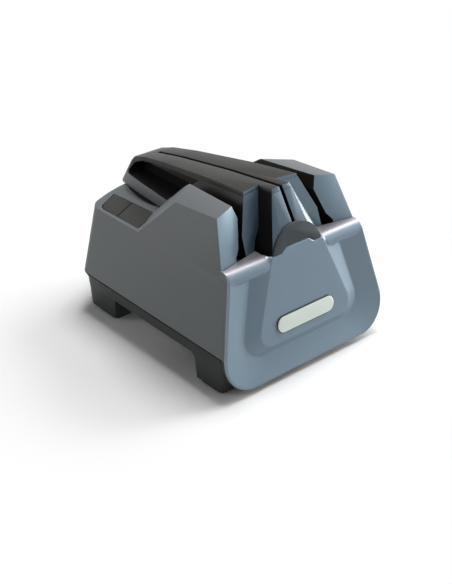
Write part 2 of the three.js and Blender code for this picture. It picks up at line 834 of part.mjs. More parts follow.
function mainHousing() {
  const outer = outerHousing();
  let housing = outer.subtract(innerHousing());
  for (const side of [-1, 1]) {
    for (const y of [columnFront, columnBack]) {
      housing = housing.add(rodZ(columnRadius, side * columnHalf, y, trayTop + seatGap, columnTop));
    }
  }
  for (const y of [boardFront + boardPostInset, boardBack - boardPostInset]) {
    housing = housing.add(rodZ(boardPostRadius, boardPostX, y,
      boardHeight + boardThickness + seatGap, cavityTop + seatGap));
  }
  const earStart = pivotHalfLength - earLength;
  const ears = pivotEar(earStart, pivotHalfLength + earEnd).add(
    pivotEar(-pivotHalfLength - earEnd, -earStart));
  housing = housing.add(ears.intersect(outer)).subtract(
    alongPivot(pivotRadius + seatGap, -pivotHalfLength - seatGap, pivotHalfLength + seatGap));
  const underRests = block(everywhere, everywhere, [restLedge - seatGap, restHeight + seatGap]);
  const window = alongY(coverOutline(frontWindowMargin, restHeight + overrun), -overrun, facetFoot)
    .subtract(beyond([0, coverThickness + wall + 2 * seatGap, coverFoot], [0, 1, -coverLeanShare]));
  housing = housing.subtract(underRests.intersect(beforeFacets(0, 0)))
    .subtract(window.intersect(beforeFacets(0, 0)))
    .subtract(beltRoom(cavityTop - seatGap, deckHeight + seatGap, beltFront - 2 * runGap,
      frameBack + runGap))
    .subtract(alongZ(rockerOutline(-rockerGap), pivotHeight - earHalf - seatGap, deckHeight + overrun))
    .subtract(bothSides(scoop()))
    .subtract(rodY(inletNoseRadius + seatGap, inletX, inletHeight,
      rearAt(inletX + inletHalf, inletHeight) - 2 * wall, bodyLength + overrun, pulleySteps));
  for (const side of [-1, 1]) {
    housing = housing.subtract(rodY(screwRadius + seatGap, side * coverScrewHalf, coverScrewHeight, 0,
      columnFront));
    for (const y of [columnFront, columnBack]) {
      housing = housing.subtract(rodZ(screwRadius + seatGap, side * columnHalf, y, trayUnder,
        trayUnder + baseScrewLength + seatGap));
    }
  }
  return housing;
}

// Base tray with its legs

function trayRing(z, inset) {
  return planRing(z, inset, seamHeight, trayFront, trayFrontRadius);
}

function baseTray() {
  const top = seamHeight - seatGap;
  const skirtFoot = trayUnder - traySkirt;
  const outer = loft([trayRing(skirtFoot, trayTuck), trayRing(trayTuckHeight, trayTuck * tuckShare),
    trayRing(top, seatGap)], 2);
  const innerRing = (z) => planRing(z, trayTuck + wall, seamHeight, trayFront + wall, trayFrontRadius);
  const inner = loft([innerRing(trayTop), innerRing(top + overrun)], 2);
  const recess = loft([innerRing(skirtFoot - overrun), innerRing(trayUnder)], 2);
  const legBottom = padThickness + seatGap;
  const legBlock = (tuck) => loft([trayRing(legBottom, trayTuck + tuck), trayRing(trayUnder, trayTuck)], 2);
  const frontLeg = roundedOutline([[0, trayUnder], [0, legBottom], [frontLegBack, legBottom],
    [frontLegBack + frontLegLean, trayUnder - frontLegStep], [frontLegReach, trayUnder]],
  [0, 0, 0, frontLegFillet, 0], outlineSteps);
  const rearLeg = [[rearLegFront - rearLegLean, trayUnder], [rearLegFront, legBottom],
    [bodyLength, legBottom], [bodyLength, trayUnder]];
  const legs = legBlock(frontLegTuck).intersect(alongX(frontLeg, -farAway, farAway)).add(
    legBlock(rearLegTuck).intersect(alongX(rearLeg, -farAway, farAway)));
  const middle = block([-legInnerHalf, legInnerHalf], everywhere, everywhere);
  let tray = outer.subtract(inner).subtract(recess).add(legs.subtract(middle));
  for (const side of [-1, 1]) {
    for (const y of [columnFront, columnBack]) {
      tray = tray.subtract(rodZ(screwWell, side * columnHalf, y, 0, trayUnder - wall))
        .subtract(rodZ(screwRadius + seatGap, side * columnHalf, y, 0, trayTop + overrun));
    }
    tray = tray.subtract(rodZ(screwRadius + seatGap, side * frameScrewHalf, frameScrewY,
      trayUnder + frameScrewSkin, trayTop + overrun));
  }
  for (let vent = 0; vent < ventCount; vent += 1) {
    const y = ventStart + vent * ventPitch;
    tray = tray.subtract(block([-ventLength / 2, ventLength / 2], [y, y + ventWidth],
      [trayUnder - overrun, trayTop + overrun]));
  }
  return tray;
}

function footPad(side, front, back, tuck) {
  const outer = sideAt(seamHeight) - trayTuck - tuck - padInset;
  const inner = legInnerHalf + padInset;
  const corners = [[inner, front + padInset], [outer, front + padInset], [outer, back - padInset],
    [inner, back - padInset]].map(([x, y]) => [side * x, y]);
  const radii = corners.map(() => padCorner);
  const outline = roundedOutline(side > 0 ? corners : corners.reverse(), radii, padSteps);
  return alongZ(outline, 0, padThickness);
}

// Blade guide

function guideY(share) {
  return mix(guideFront, guideBack, share);
}

function guideZ(share) {
  return mix(deckHeight, guideTop, share);
}

// Height of the guide's top line over its first, longest stretch
function topLineAt(y) {
  const [[, high], [along, next]] = guideProfileShares;
  return guideZ(mix(high, next, (y - guideFront) / (along * (guideBack - guideFront))));
}

function guideLoft() {
  const kneeShare = (guideKneeHeight - deckHeight) / (guideTop - deckHeight);
  const rings = guideProfileShares.map(([along, high], i) => {
    const y = guideY(along);
    const foot = mix(guideFootHalf, slotBackX, along) * guideEndShares[i];
    const top = mix(guideTopHalf, guideTopHalfRear, along) * guideEndShares[i];
    const knee = mix(guideSeat, guideZ(high), kneeShare * guideKneeShares[i]);
    const z = guideZ(high);
    return [[foot, y, guideSeat], [foot, y, knee], [top, y, z], [-top, y, z], [-foot, y, knee],
      [-foot, y, guideSeat]];
  });
  const [first] = rings;
  const ahead = first.map(([x, , z]) => [x + Math.sign(x) * toeShare * guideLead, guideFront - guideLead, z]);
  return loft([ahead, ...rings], 1);
}

// The room that the cover's top edge and its tab take up in front of the nose, also while it rises
function coverTopRoom() {
  const half = discRadius + overrun;
  const foot = restHeight + seatGap;
  const outline = [[half, guideSeat - overrun], [half, foot], [tabFootHalf + seatGap, foot],
    [tabHalf + seatGap, foot + tabRise], [-tabHalf - seatGap, foot + tabRise],
    [-tabFootHalf - seatGap, foot], [-half, foot], [-half, guideSeat - overrun]];
  return alongY(outline, 0, coverAt(restHeight + tabRise) + coverThickness + seatGap);
}

function guideNose() {
  const points = [];
  for (let step = 0; step <= discSteps; step += 1) {
    const angle = mix(-noseSpread, noseSpread, step / discSteps) * (Math.PI / 180);
    const z = deckHeight + discRadius * Math.cos(angle);
    points.push([discRadius * Math.sin(angle), coverAt(z) + discThickness + seatGap, z]);
  }
  const [[half, front]] = points.slice(-1);
  for (const side of [-1, 1]) {
    points.push([side * half, front, guideSeat], [side * half, noseBack, guideSeat],
      [side * noseTopHalf, noseTopFront, topLineAt(noseTopFront)],
      [side * noseTopHalf, noseBack, topLineAt(noseBack)]);
  }
  return hull(points).subtract(coverTopRoom());
}

function guideRecess() {
  const section = [[-recessFootHalf, guideSeat - overrun], [recessFootHalf, guideSeat - overrun],
    [recessFootHalf, restHeight], [recessTopHalf, guideTop], [recessTopHalf, guideTop + overrun],
    [-recessTopHalf, guideTop + overrun], [-recessTopHalf, guideTop], [-recessFootHalf, restHeight]];
  const depth = [[0, guideSeat - overrun], [recessBack, guideSeat - overrun], [recessBack, recessKnee],
    [recessBackTop, guideTop], [recessBackTop, guideTop + overrun], [0, guideTop + overrun]];
  return alongY(section, 0, recessBackTop).intersect(alongX(depth, -recessFootHalf, recessFootHalf));
}

// Everything above the guide's top line, drawn down by a drop, as far back as its soft skin goes
function aboveTopLine(drop, end) {
  const line = guideProfileShares.slice(0, skinSections)
    .map(([along, high]) => [guideY(along), guideZ(high) - drop]);
  const points = [[0, line[0][1]], ...line.slice(0, -1), [end, line.at(-1)[1]], [end, farAway],
    [0, farAway]];
  return alongX(points, -farAway, farAway);
}

function fingerPockets() {
  const outline = pocketShares.map(([along, high]) => [guideY(along), guideZ(high)]);
  const shelf = guideZ(pocketShelfShare);
  const upper = block(everywhere, everywhere, [shelf, farAway]);
  const deep = alongX(outline, pocketWebHalf, farAway).subtract(upper);
  const shallow = alongX(outline, pocketShelfHalf, farAway);
  return bothSides(deep.add(shallow));
}

function guideWhole() {
  return guideLoft().subtract(beforeFacets(0, facetLeanShare)).subtract(beforeFacets(0, 0))
    .subtract(guideRecess())
    .add(guideNose())
    .subtract(block([-slitWidth / 2, slitWidth / 2], [0, slitBack], [slitFloor, farAway]));
}

function honeHole(index, radius, length) {
  const rod = new THREE.CylinderGeometry(radius, radius, length, axleSteps).rotateX(Math.PI / 2);
  rod.rotateY(THREE.MathUtils.degToRad(index === 0 ? honeTilt : -honeTilt));
  return asSolid(rod.translate(0, honePlace + index * honePitch, honeHeight));
}

function guideBody() {
  const roof = idlerHeight + idlerRadius + beltThickness + 2 * runGap;
  const cavity = beltRoom(guideSeat - seatGap, roof, beltFront - runGap, frameBack + 2 * runGap);
  let body = guideWhole().subtract(aboveTopLine(guideCoverThickness + seatGap, skinEnd + seatGap))
    .subtract(fingerPockets()).subtract(cavity);
  for (const index of [0, 1]) {
    body = body.subtract(honeHole(index, honeRadius + seatGap, honeLength + 2 * seatGap));
  }
  return body;
}

function guideCover() {
  return guideWhole().intersect(aboveTopLine(guideCoverThickness, skinEnd));
}

function frontDisc() {
  const outline = [];
  const foot = restHeight + seatGap;
  const spread = Math.acos((foot - deckHeight) / discRadius);
  for (let step = 0; step <= discSteps; step += 1) {
    const angle = mix(spread, -spread, step / discSteps);
    outline.push([discRadius * Math.sin(angle), deckHeight + discRadius * Math.cos(angle)]);
  }
  const notch = [[-tabFootHalf - seatGap, foot], [-tabHalf - seatGap, foot + tabRise],
    [tabHalf + seatGap, foot + tabRise], [tabFootHalf + seatGap, foot]];
  return loft([onCover([...outline, ...notch], 0), onCover([...outline, ...notch], discThickness)], 1);
}

// Power rocker

function powerRocker() {
  return alongZ(rockerOutline(0), deckHeight - rockerDepth, deckHeight).subtract(
    alongPivot(pivotRadius + seatGap, -pivotHalfLength, pivotHalfLength));
}

// Belt train

function loop(circles, inside, outside, front, width) {
  return alongY(beltOutline(circles, outside), front, front + width, [beltOutline(circles, inside)]);
}

function wheel(radius, bore, x, z, front, width) {
  return rodY(radius, x, z, front, front + width, pulleySteps).subtract(
    rodY(bore, x, z, front - overrun, front + width + overrun));
}

function crownedPulley(radius, x, z, bore) {
  return wheel(radius, bore, x, z, beltFront + beltOverhang, beltWidth - 2 * beltOverhang);
}

function flangedPulley(radius, x, z, bore) {
  const core = rodY(radius, x, z, transferFront, transferFront + transferWidth, pulleySteps);
  const flange = (front) => rodY(radius + flangeRise, x, z, front, front + flangeWidth, pulleySteps);
  return core.add(flange(transferFront - flangeWidth)).add(flange(transferFront + transferWidth))
    .subtract(rodY(bore, x, z, transferFront - overrun, transferFront + transferWidth + overrun));
}

function beltFrame() {
  const outline = [[-frameHalf, trayTop + seatGap], [frameHalf, trayTop + seatGap],
    [frameHalf, frameShoulder], [frameNeckHalf, frameShoulder + overrun],
    [frameNeckHalf - idlerRadius / 2, frameTop], [-frameNeckHalf + idlerRadius / 2, frameTop],
    [-frameNeckHalf, frameShoulder + overrun], [-frameHalf, frameShoulder]];
  let frame = alongY(outline, frameFront, frameBack).add(block([-frameHalf, frameHalf],
    [frameFront, frameBack + frameFlange], [trayTop + seatGap, trayTop + seatGap + frameThickness]));
  frame = frame.subtract(rodY(bearingRadius + seatGap, pulleyHalf, pulleyHeight, 0, frameBack + overrun,
    pulleySteps));
  for (const side of [-1, 1]) {
    frame = frame.subtract(rodY(axleRadius + seatGap, side * idlerHalf, idlerHeight, 0, frameBack + overrun))
      .subtract(rodZ(screwRadius + seatGap, side * frameScrewHalf, frameScrewY, 0, frameShoulder));
  }
  return frame.subtract(rodY(axleRadius + seatGap, ...armPivot, 0, frameBack + overrun));
}

function armOutline() {
  const ends = [[...armPivot, armEndRadius], [-pulleyHalf, pulleyHeight, armTipRadius]];
  return beltOutline(ends, 0);
}

function tensionArm() {
  return alongY(armOutline(), armFront, armFront + armThickness)
    .add(rodY(armBossRadius, ...armPivot, armFront - armBossLength, armFront))
    .subtract(rodY(axleRadius + seatGap, ...armPivot, 0, frameBack))
    .subtract(rodY(axleRadius + seatGap, -pulleyHalf, pulleyHeight, 0, frameBack));
}

class SpringPath extends THREE.Curve {
  getPoint(t) {
    const [x, z] = armPivot;
    const coil = springTurns * 2 * Math.PI * springRadius;
    const along = t * (coil + 2 * springLeg);
    const start = armFront - seatGap - springWire / 2 - springPitch * springTurns;
    const place = (angle, y, leg) => new THREE.Vector3(
      x + springRadius * Math.cos(angle) - leg * Math.sin(angle), y,
      z + springRadius * Math.sin(angle) + leg * Math.cos(angle));
    if (along < springLeg) return place(0, start, along - springLeg);
    if (along > coil + springLeg) {
      const end = springTurns * 2 * Math.PI;
      return place(end, start + springPitch * springTurns, along - coil - springLeg);
    }
    const turn = (along - springLeg) / coil;
    return place(turn * springTurns * 2 * Math.PI, start + turn * springPitch * springTurns, 0);
  }
}

function tensionSpring() {
  const section = [];
  for (let side = 0; side < springSides; side += 1) {
    const angle = (2 * Math.PI * side) / springSides;
    section.push(new THREE.Vector2((springWire / 2) * Math.cos(angle), (springWire / 2) * Math.sin(angle)));
  }
  const steps = Math.round(springTurns * springStepsPerTurn) + springLegSteps;
  return asSolid(new THREE.ExtrudeGeometry(new THREE.Shape(section), {
    steps, extrudePath: new SpringPath(), bevelEnabled: false,
  }));
}

// Motor

function motorCan() {
  return rodY(motorRadius, motorX, motorHeight, motorFront, motorBack, motorSteps)
    .subtract(rodY(motorRadius - motorWall, motorX, motorHeight, motorFront + motorWall, motorBack + overrun,
      motorSteps))
    .subtract(rodY(motorShaftRadius + runGap, motorX, motorHeight, 0, motorBack));
}

function motorEndCap() {
  const rim = rodY(motorRadius, motorX, motorHeight, motorBack + seatGap,
    motorBack + seatGap + endCapThickness, motorSteps);
  const spigot = rodY(motorRadius - motorWall - seatGap, motorX, motorHeight,
    motorBack - endCapThickness, motorBack + seatGap, motorSteps);
  return rim.add(spigot).subtract(rodY(motorShaftRadius + runGap, motorX, motorHeight, 0, bodyLength));
}

const fanFront = motorBack + endCapThickness + 2 * runGap;

function coolingFan() {
  let fan = rodY(fanHub, motorX, motorHeight, fanFront, fanFront + fanDepth)
    .add(rodY(fanRadius, motorX, motorHeight, fanFront, fanFront + fanDisc, pulleySteps));
  for (let blade = 0; blade < fanBlades; blade += 1) {
    const vane = new THREE.BoxGeometry(fanRadius - fanHub / 2, fanDepth - fanDisc / 2, fanBladeThickness);
    vane.translate((fanRadius + fanHub / 2) / 2, 0, 0).rotateY((2 * Math.PI * blade) / fanBlades);
    fan = fan.add(asSolid(vane.translate(motorX, fanFront + (fanDepth + fanDisc / 2) / 2, motorHeight)));
  }
  return fan.subtract(rodY(motorShaftRadius + seatGap, motorX, motorHeight, 0, bodyLength));
}

function motorCradle() {
  return block([motorX - cradleHalf, motorX + cradleHalf],
    [motorFront + cradleMargin, motorBack - cradleMargin], [trayTop + seatGap, cradleHeight])
    .subtract(rodY(motorRadius + seatGap, motorX, motorHeight, 0, bodyLength, motorSteps));
}

function motorStrap() {
  const front = (motorFront + motorBack - strapLength) / 2;
  const foot = cradleHeight + seatGap;
  const span = motorRadius + seatGap;
  const band = rodY(span + strapThickness, motorX, motorHeight, front, front + strapLength, motorSteps)
    .intersect(block(everywhere, everywhere, [motorHeight, farAway]));
  const legs = block([motorX - span - strapThickness, motorX + span + strapThickness],
    [front, front + strapLength], [foot, motorHeight + seatGap]);
  return band.add(legs).subtract(rodY(span, motorX, motorHeight, 0, bodyLength, motorSteps))
    .subtract(block([motorX - span, motorX + span], everywhere, [foot - seatGap, motorHeight]));
}

// Bush that carries the drive shaft in the frame
function driveBearing() {
  return wheel(bearingRadius, shaftRadius + seatGap, pulleyHalf, pulleyHeight,
    frameFront - bearingStandoff, frameThickness + 2 * bearingStandoff);
}

// Screws, board and inlet

function screwUp(x, y, bottom, length) {
  return rodZ(screwHeadRadius, x, y, bottom, bottom + screwHeadHeight).add(
    rodZ(screwRadius, x, y, bottom + screwHeadHeight, bottom + screwHeadHeight + length));
}

function frameScrew(side) {
  const head = trayTop + seatGap + frameThickness + seatGap;
  const x = side * frameScrewHalf;
  return rodZ(screwHeadRadius, x, frameScrewY, head, head + screwHeadHeight).add(
    rodZ(screwRadius, x, frameScrewY, trayUnder + frameScrewSkin + seatGap, head));
}

function coverScrew(side) {
  const x = side * coverScrewHalf;
  const tip = coverAt(coverScrewHeight) + coverThickness - coverScrewBite + seatGap;
  const lean = coverLeanShare * screwHeadRadius;
  const head = coverAt(coverScrewHeight) + coverThickness + seatGap + wall + seatGap + lean;
  return rodY(screwRadius, x, coverScrewHeight, tip, head).add(
    rodY(coverScrewHead, x, coverScrewHeight, head, head + screwHeadHeight));
}

function controlBoard() {
  return block([boardLeft, boardRight], [boardFront, boardBack],
    [boardHeight, boardHeight + boardThickness]);
}

function rockerKey(side) {
  const place = new THREE.Vector2(0, side * keyReach).rotateAround(new THREE.Vector2(0, 0),
    THREE.MathUtils.degToRad(rockerTurn)).add(new THREE.Vector2(...rockerCentre));
  const bottom = boardHeight + boardThickness + seatGap;
  return block([place.x - keyHalf, place.x + keyHalf], [place.y - keyHalf, place.y + keyHalf],
    [bottom, bottom + keyHeight]);
}

function powerInlet() {
  const lean = rearLeanShare * inletHalf;
  const inside = rearAt(inletX + inletHalf, inletHeight) - wall - seatGap - lean;
  const face = rearAt(inletX, inletHeight) - seatGap;
  return block([inletX - inletHalf, inletX + inletHalf], [inside - inletLength, inside],
    [inletHeight - inletHalf, inletHeight + inletHalf])
    .add(rodY(inletNoseRadius, inletX, inletHeight, inside - wall, face, pulleySteps))
    .subtract(rodY(inletBore, inletX, inletHeight, face - inletBoreDepth, face + overrun, pulleySteps))
    .subtract(rodY(inletPinRadius + seatGap, inletX, inletHeight, inside - inletLength - overrun, face));
}

function inletPin() {
  const face = rearAt(inletX, inletHeight) - seatGap;
  const back = rearAt(inletX + inletHalf, inletHeight) - wall - seatGap - rearLeanShare * inletHalf
    - inletLength;
  return rodY(inletPinRadius, inletX, inletHeight, back + seatGap, face - inletPinDepth);
}

// The whole sharpener

const sharpener = new THREE.Group();

function addPiece(name, solid, colour, roughness, metalness) {
  sharpener.add(mesh(name, solid, colour, roughness, metalness));
}

addPiece('base_tray', baseTray(), colours.tray, 0.6);
addPiece('main_housing', mainHousing(), colours.housing, 0.55);
addPiece('front_cover', frontCover(), colours.cover, 0.35, 0.4);
addPiece('badge_plate', badgePlate(), colours.badge, 0.4);
for (const [side, name] of [[-1, 'left'], [1, 'right']]) {
  addPiece(`foot_pad_front_${name}`, footPad(side, trayFront, frontLegBack, frontLegTuck),
    colours.rubber, 0.9);
  addPiece(`foot_pad_rear_${name}`, footPad(side, rearLegFront, rearLegBack, rearLegTuck),
    colours.rubber, 0.9);
  addPiece(`base_screw_front_${name}`, screwUp(side * columnHalf, columnFront, screwSeat,
    baseScrewLength), colours.darkSteel, 0.4, 0.9);
  addPiece(`base_screw_rear_${name}`, screwUp(side * columnHalf, columnBack, screwSeat,
    baseScrewLength), colours.darkSteel, 0.4, 0.9);
  addPiece(`cover_screw_${name}`, coverScrew(side), colours.darkSteel, 0.4, 0.9);
  addPiece(`frame_screw_${name}`, frameScrew(side), colours.darkSteel, 0.4, 0.9);
  addPiece(`idler_axle_${name}`, rodY(axleRadius, side * idlerHalf, idlerHeight, beltFront + runGap,
    frameBack), colours.steel, 0.25, 0.9);
  addPiece(`idler_pulley_${name}`, crownedPulley(idlerRadius - beltGap, side * idlerHalf, idlerHeight,
    axleRadius + seatGap), colours.polymer, 0.5);
}
addPiece('guide_body', guideBody(), colours.guide, 0.5);
addPiece('guide_top_cover', guideCover(), colours.guideTop, 0.8);
addPiece('guide_front_disc', frontDisc(), colours.disc, 0.55);
addPiece('honing_rod_front', honeHole(0, honeRadius, honeLength), colours.ceramic, 0.7);
addPiece('honing_rod_rear', honeHole(1, honeRadius, honeLength), colours.ceramic, 0.7);
addPiece('power_rocker', powerRocker(), colours.rocker, 0.75);
addPiece('rocker_pivot_pin', alongPivot(pivotRadius, -pivotHalfLength, pivotHalfLength), colours.steel,
  0.3, 0.9);
addPiece('control_board', controlBoard(), colours.board, 0.6);
addPiece('rocker_key_front', rockerKey(-1), colours.polymer, 0.6);
addPiece('rocker_key_rear', rockerKey(1), colours.polymer, 0.6);
addPiece('abrasive_belt', loop(beltCircles, 0, beltThickness, beltFront, beltWidth), colours.belt, 0.95);
addPiece('drive_pulley', crownedPulley(pulleyRadius - beltGap, pulleyHalf, pulleyHeight,
  shaftRadius + seatGap), colours.polymer, 0.5);
addPiece('drive_shaft', rodY(shaftRadius, pulleyHalf, pulleyHeight, beltFront + runGap,
  transferFront + transferWidth + flangeWidth), colours.steel, 0.25, 0.9);
addPiece('drive_bearing', driveBearing(), colours.steel, 0.35, 0.8);
addPiece('driven_pulley', flangedPulley(drivenRadius - beltGap, pulleyHalf, pulleyHeight,
  shaftRadius + seatGap), colours.polymer, 0.5);
addPiece('transfer_belt', loop([[pulleyHalf, pulleyHeight, drivenRadius], [motorX, motorHeight,
  motorPulleyRadius]], 0, transferThickness, transferFront + seatGap, transferWidth - 2 * seatGap),
colours.rubber, 0.9);
addPiece('motor_pulley', flangedPulley(motorPulleyRadius - beltGap, motorX, motorHeight,
  motorShaftRadius + seatGap), colours.polymer, 0.5);
addPiece('tension_arm', tensionArm(), colours.darkSteel, 0.4, 0.8);
addPiece('tension_axle', rodY(axleRadius, -pulleyHalf, pulleyHeight, beltFront + runGap,
  armFront + armThickness), colours.steel, 0.25, 0.9);
addPiece('tension_pulley', crownedPulley(pulleyRadius - beltGap, -pulleyHalf, pulleyHeight,
  axleRadius + seatGap), colours.polymer, 0.5);
addPiece('tension_pivot_pin', rodY(axleRadius, ...armPivot, armFront - armBossLength - runGap, frameBack),
  colours.steel, 0.25, 0.9);
addPiece('tension_spring', tensionSpring(), colours.steel, 0.3, 0.9);
addPiece('belt_frame', beltFrame(), colours.darkSteel, 0.45, 0.8);
addPiece('motor_can', motorCan(), colours.steel, 0.4, 0.8);
addPiece('motor_end_cap', motorEndCap(), colours.polymer, 0.6);
addPiece('motor_armature', wheel(armatureRadius, motorShaftRadius + seatGap, motorX, motorHeight,
  motorFront + armatureMargin, motorLength - 2 * armatureMargin), colours.darkSteel, 0.5, 0.7);
addPiece('motor_shaft', rodY(motorShaftRadius, motorX, motorHeight, transferFront - flangeWidth,
  fanFront + fanDepth), colours.steel, 0.25, 0.9);
addPiece('cooling_fan', coolingFan(), colours.polymer, 0.6);
addPiece('motor_cradle', motorCradle(), colours.polymer, 0.6);
addPiece('motor_strap', motorStrap(), colours.darkSteel, 0.4, 0.8);
addPiece('power_inlet', powerInlet(), colours.polymer, 0.5);
addPiece('inlet_pin', inletPin(), colours.steel, 0.3, 0.9);

sharpener.position.y = -bodyLength / 2;

export default sharpener;
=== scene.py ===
"""Looks of the belt knife sharpener: its mouldings with softened edges, the dished front cover, the
rocker, badge, pads and screws, their finishes, and the white floor they stand on.

Laid out as an add-on and run as a script. Metres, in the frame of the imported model.
"""

import json
import math

import bmesh
import bpy
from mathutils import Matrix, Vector


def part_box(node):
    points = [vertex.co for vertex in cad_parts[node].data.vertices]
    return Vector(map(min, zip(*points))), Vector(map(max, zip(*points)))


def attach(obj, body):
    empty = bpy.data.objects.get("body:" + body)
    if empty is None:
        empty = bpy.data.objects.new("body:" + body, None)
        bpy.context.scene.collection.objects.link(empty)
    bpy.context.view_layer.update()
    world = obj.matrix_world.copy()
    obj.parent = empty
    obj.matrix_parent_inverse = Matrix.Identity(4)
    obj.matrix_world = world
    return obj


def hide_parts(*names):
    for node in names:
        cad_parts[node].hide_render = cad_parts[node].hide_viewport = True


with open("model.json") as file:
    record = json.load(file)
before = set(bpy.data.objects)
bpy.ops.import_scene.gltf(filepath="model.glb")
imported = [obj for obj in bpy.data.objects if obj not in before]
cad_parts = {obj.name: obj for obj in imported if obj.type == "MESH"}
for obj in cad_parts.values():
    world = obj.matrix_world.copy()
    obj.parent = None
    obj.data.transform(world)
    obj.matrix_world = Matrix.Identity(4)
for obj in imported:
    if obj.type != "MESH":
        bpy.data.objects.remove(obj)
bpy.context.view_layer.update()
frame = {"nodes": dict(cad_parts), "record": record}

bl_info = {
    "name": "Belt Knife Sharpener",
    "version": (1, 0, 0),
    "blender": (4, 5, 0),
    "location": "View3D > Sidebar > Sharpener",
    "description": "Builds the visible pieces and finishes of a belt knife sharpener",
    "category": "Object",
}

MM = 0.001
HAIR = 0.01 * MM  # a distance too small to be seen
WELD = 0.002 * MM
FLAT_ANGLE = math.radians(0.4)  # faces that meet at less than this are one


# Node helpers


# By name, the inputs and outputs of node trees that aren't floats
SOCKET_KINDS = {
    "Colour": "NodeSocketColor", "Stretch": "NodeSocketVector", "Turn": "NodeSocketRotation",
    "Ribs": "NodeSocketInt", "Material": "NodeSocketMaterial", "Geometry": "NodeSocketGeometry",
}


def linear(colour):
    """A screen colour as scene-linear values with full alpha, by the sRGB curve."""
    values = [c / 12.92 if c <= 0.04045 else ((c + 0.055) / 1.055) ** 2.4 for c in colour]
    return (*values, 1.0)


def feed(tree, node, inputs):
    """Each input gets a value, a link from a socket, or the links of a list of sockets."""
    for key, value in inputs.items():
        for item in value if isinstance(value, list) else [value]:
            if isinstance(item, bpy.types.NodeSocket):
                tree.links.new(item, node.inputs[key])
            else:
                node.inputs[key].default_value = item


def add_node(tree, kind, inputs, **settings):
    """The outputs of a new node with these settings and inputs."""
    node = tree.nodes.new(kind)
    for name, value in settings.items():
        setattr(node, name, value)
    feed(tree, node, inputs)
    return node.outputs


def calc(tree, operation, *values, clamp=False):
    """The result of one step of arithmetic on numbers or sockets."""
    return add_node(tree, "ShaderNodeMath", dict(enumerate(values)), operation=operation,
                    use_clamp=clamp)[0]


def vector(tree, **parts):
    """A vector from numbers or sockets for X, Y and Z; a part left out is zero."""
    return add_node(tree, "ShaderNodeCombineXYZ", parts)[0]


def new_tree(name, inputs, outputs, kind="ShaderNodeTree"):
    """A node tree with named sockets, the sockets of its start, and its end node."""
    tree = bpy.data.node_groups.new(name, kind)
    for side, labels in (("INPUT", inputs), ("OUTPUT", outputs)):
        for label in labels:
            tree.interface.new_socket(label, in_out=side,
                                      socket_type=SOCKET_KINDS.get(label, "NodeSocketFloat"))
    return tree, tree.nodes.new("NodeGroupInput").outputs, tree.nodes.new("NodeGroupOutput")


def object_place(tree):
    return add_node(tree, "ShaderNodeTexCoord", {})["Object"]


def object_noise(tree, scale, detail, stretch=None):
    """Noise on the object's own coordinates, with this many cells in a metre."""
    place = object_place(tree)
    if stretch is not None:
        place = add_node(tree, "ShaderNodeVectorMath", {0: place, 1: stretch}, operation="MULTIPLY")[0]
    return add_node(tree, "ShaderNodeTexNoise", {
        "Vector": place, "Scale": scale, "Detail": detail})["Fac"]


# Shared effects


def swung(tree, base, noise, amount):
    """The base value moved up and down by the noise, which is centred on one half."""
    return calc(tree, "MULTIPLY_ADD", calc(tree, "SUBTRACT", noise, 0.5), amount, base)


def toned(tree, colour, noise, amount):
    """The colour lighter and darker by the noise."""
    return add_node(tree, "ShaderNodeVectorMath", {
        0: colour, "Scale": swung(tree, 1.0, noise, amount)}, operation="SCALE")[0]


def grain_effect(name, cloud_scale=28.0, cloud_share=0.4, rough_swing=0.18):
    """Fine grain of a moulding or a cast surface, with slow cloudiness in its tone."""
    group, start, end = new_tree(name, ("Colour", "Roughness", "Grain Scale", "Tone Swing"),
                                 ("Colour", "Roughness", "Height"))
    fine = object_noise(group, start["Grain Scale"], detail=3.0)
    cloud = object_noise(group, cloud_scale, detail=2.0)
    blend = calc(group, "ADD", calc(group, "MULTIPLY", fine, 1 - cloud_share),
                 calc(group, "MULTIPLY", cloud, cloud_share))
    feed(group, end, {
        "Colour": toned(group, start["Colour"], blend, start["Tone Swing"]),
        "Roughness": swung(group, start["Roughness"], fine, rough_swing), "Height": fine})
    return group


def handling_effect(name, patch_scale=70.0, threshold=0.52, contrast=6.0, dulling=0.5):
    """Faint finger marks: slow patches that dull a surface and tint it a little."""
    group, start, end = new_tree(name, ("Colour", "Roughness", "Amount"), ("Colour", "Roughness"))
    patch = object_noise(group, patch_scale, detail=5.0)
    mask = calc(group, "MULTIPLY", calc(group, "SUBTRACT", patch, threshold), contrast, clamp=True)
    mark = calc(group, "MULTIPLY", mask, start["Amount"])
    feed(group, end, {
        "Colour": toned(group, start["Colour"], mask, start["Amount"]),
        "Roughness": calc(group, "ADD", start["Roughness"], calc(group, "MULTIPLY", mark, dulling))})
    return group


def flake_effect(name):
    """Metal flakes in a paint: tiny cells of slightly different tone."""
    group, start, end = new_tree(name, ("Colour", "Flake Scale", "Sparkle"), ("Colour", "Height"))
    cells = add_node(group, "ShaderNodeTexVoronoi", {
        "Vector": object_place(group), "Scale": start["Flake Scale"]})["Color"]
    tone, height = add_node(group, "ShaderNodeSeparateColor", {0: cells})[:2]
    feed(group, end, {
        "Colour": toned(group, start["Colour"], tone, start["Sparkle"]), "Height": height})
    return group


def drawn_effect(name, tone_swing=0.25, rough_swing=0.3):
    """Fine parallel scratches of a turned or drawn metal, by the stretch of the noise."""
    group, start, end = new_tree(name, ("Colour", "Roughness", "Stretch"),
                                 ("Colour", "Roughness", "Height"))
    lines = object_noise(group, 1.0, detail=4.0, stretch=start["Stretch"])
    feed(group, end, {
        "Colour": toned(group, start["Colour"], lines, tone_swing),
        "Roughness": swung(group, start["Roughness"], lines, rough_swing), "Height": lines})
    return group


EFFECTS = {
    "Moulded Grain": grain_effect,
    "Handling Marks": handling_effect,
    "Paint Flakes": flake_effect,
    "Drawn Metal": drawn_effect,
}


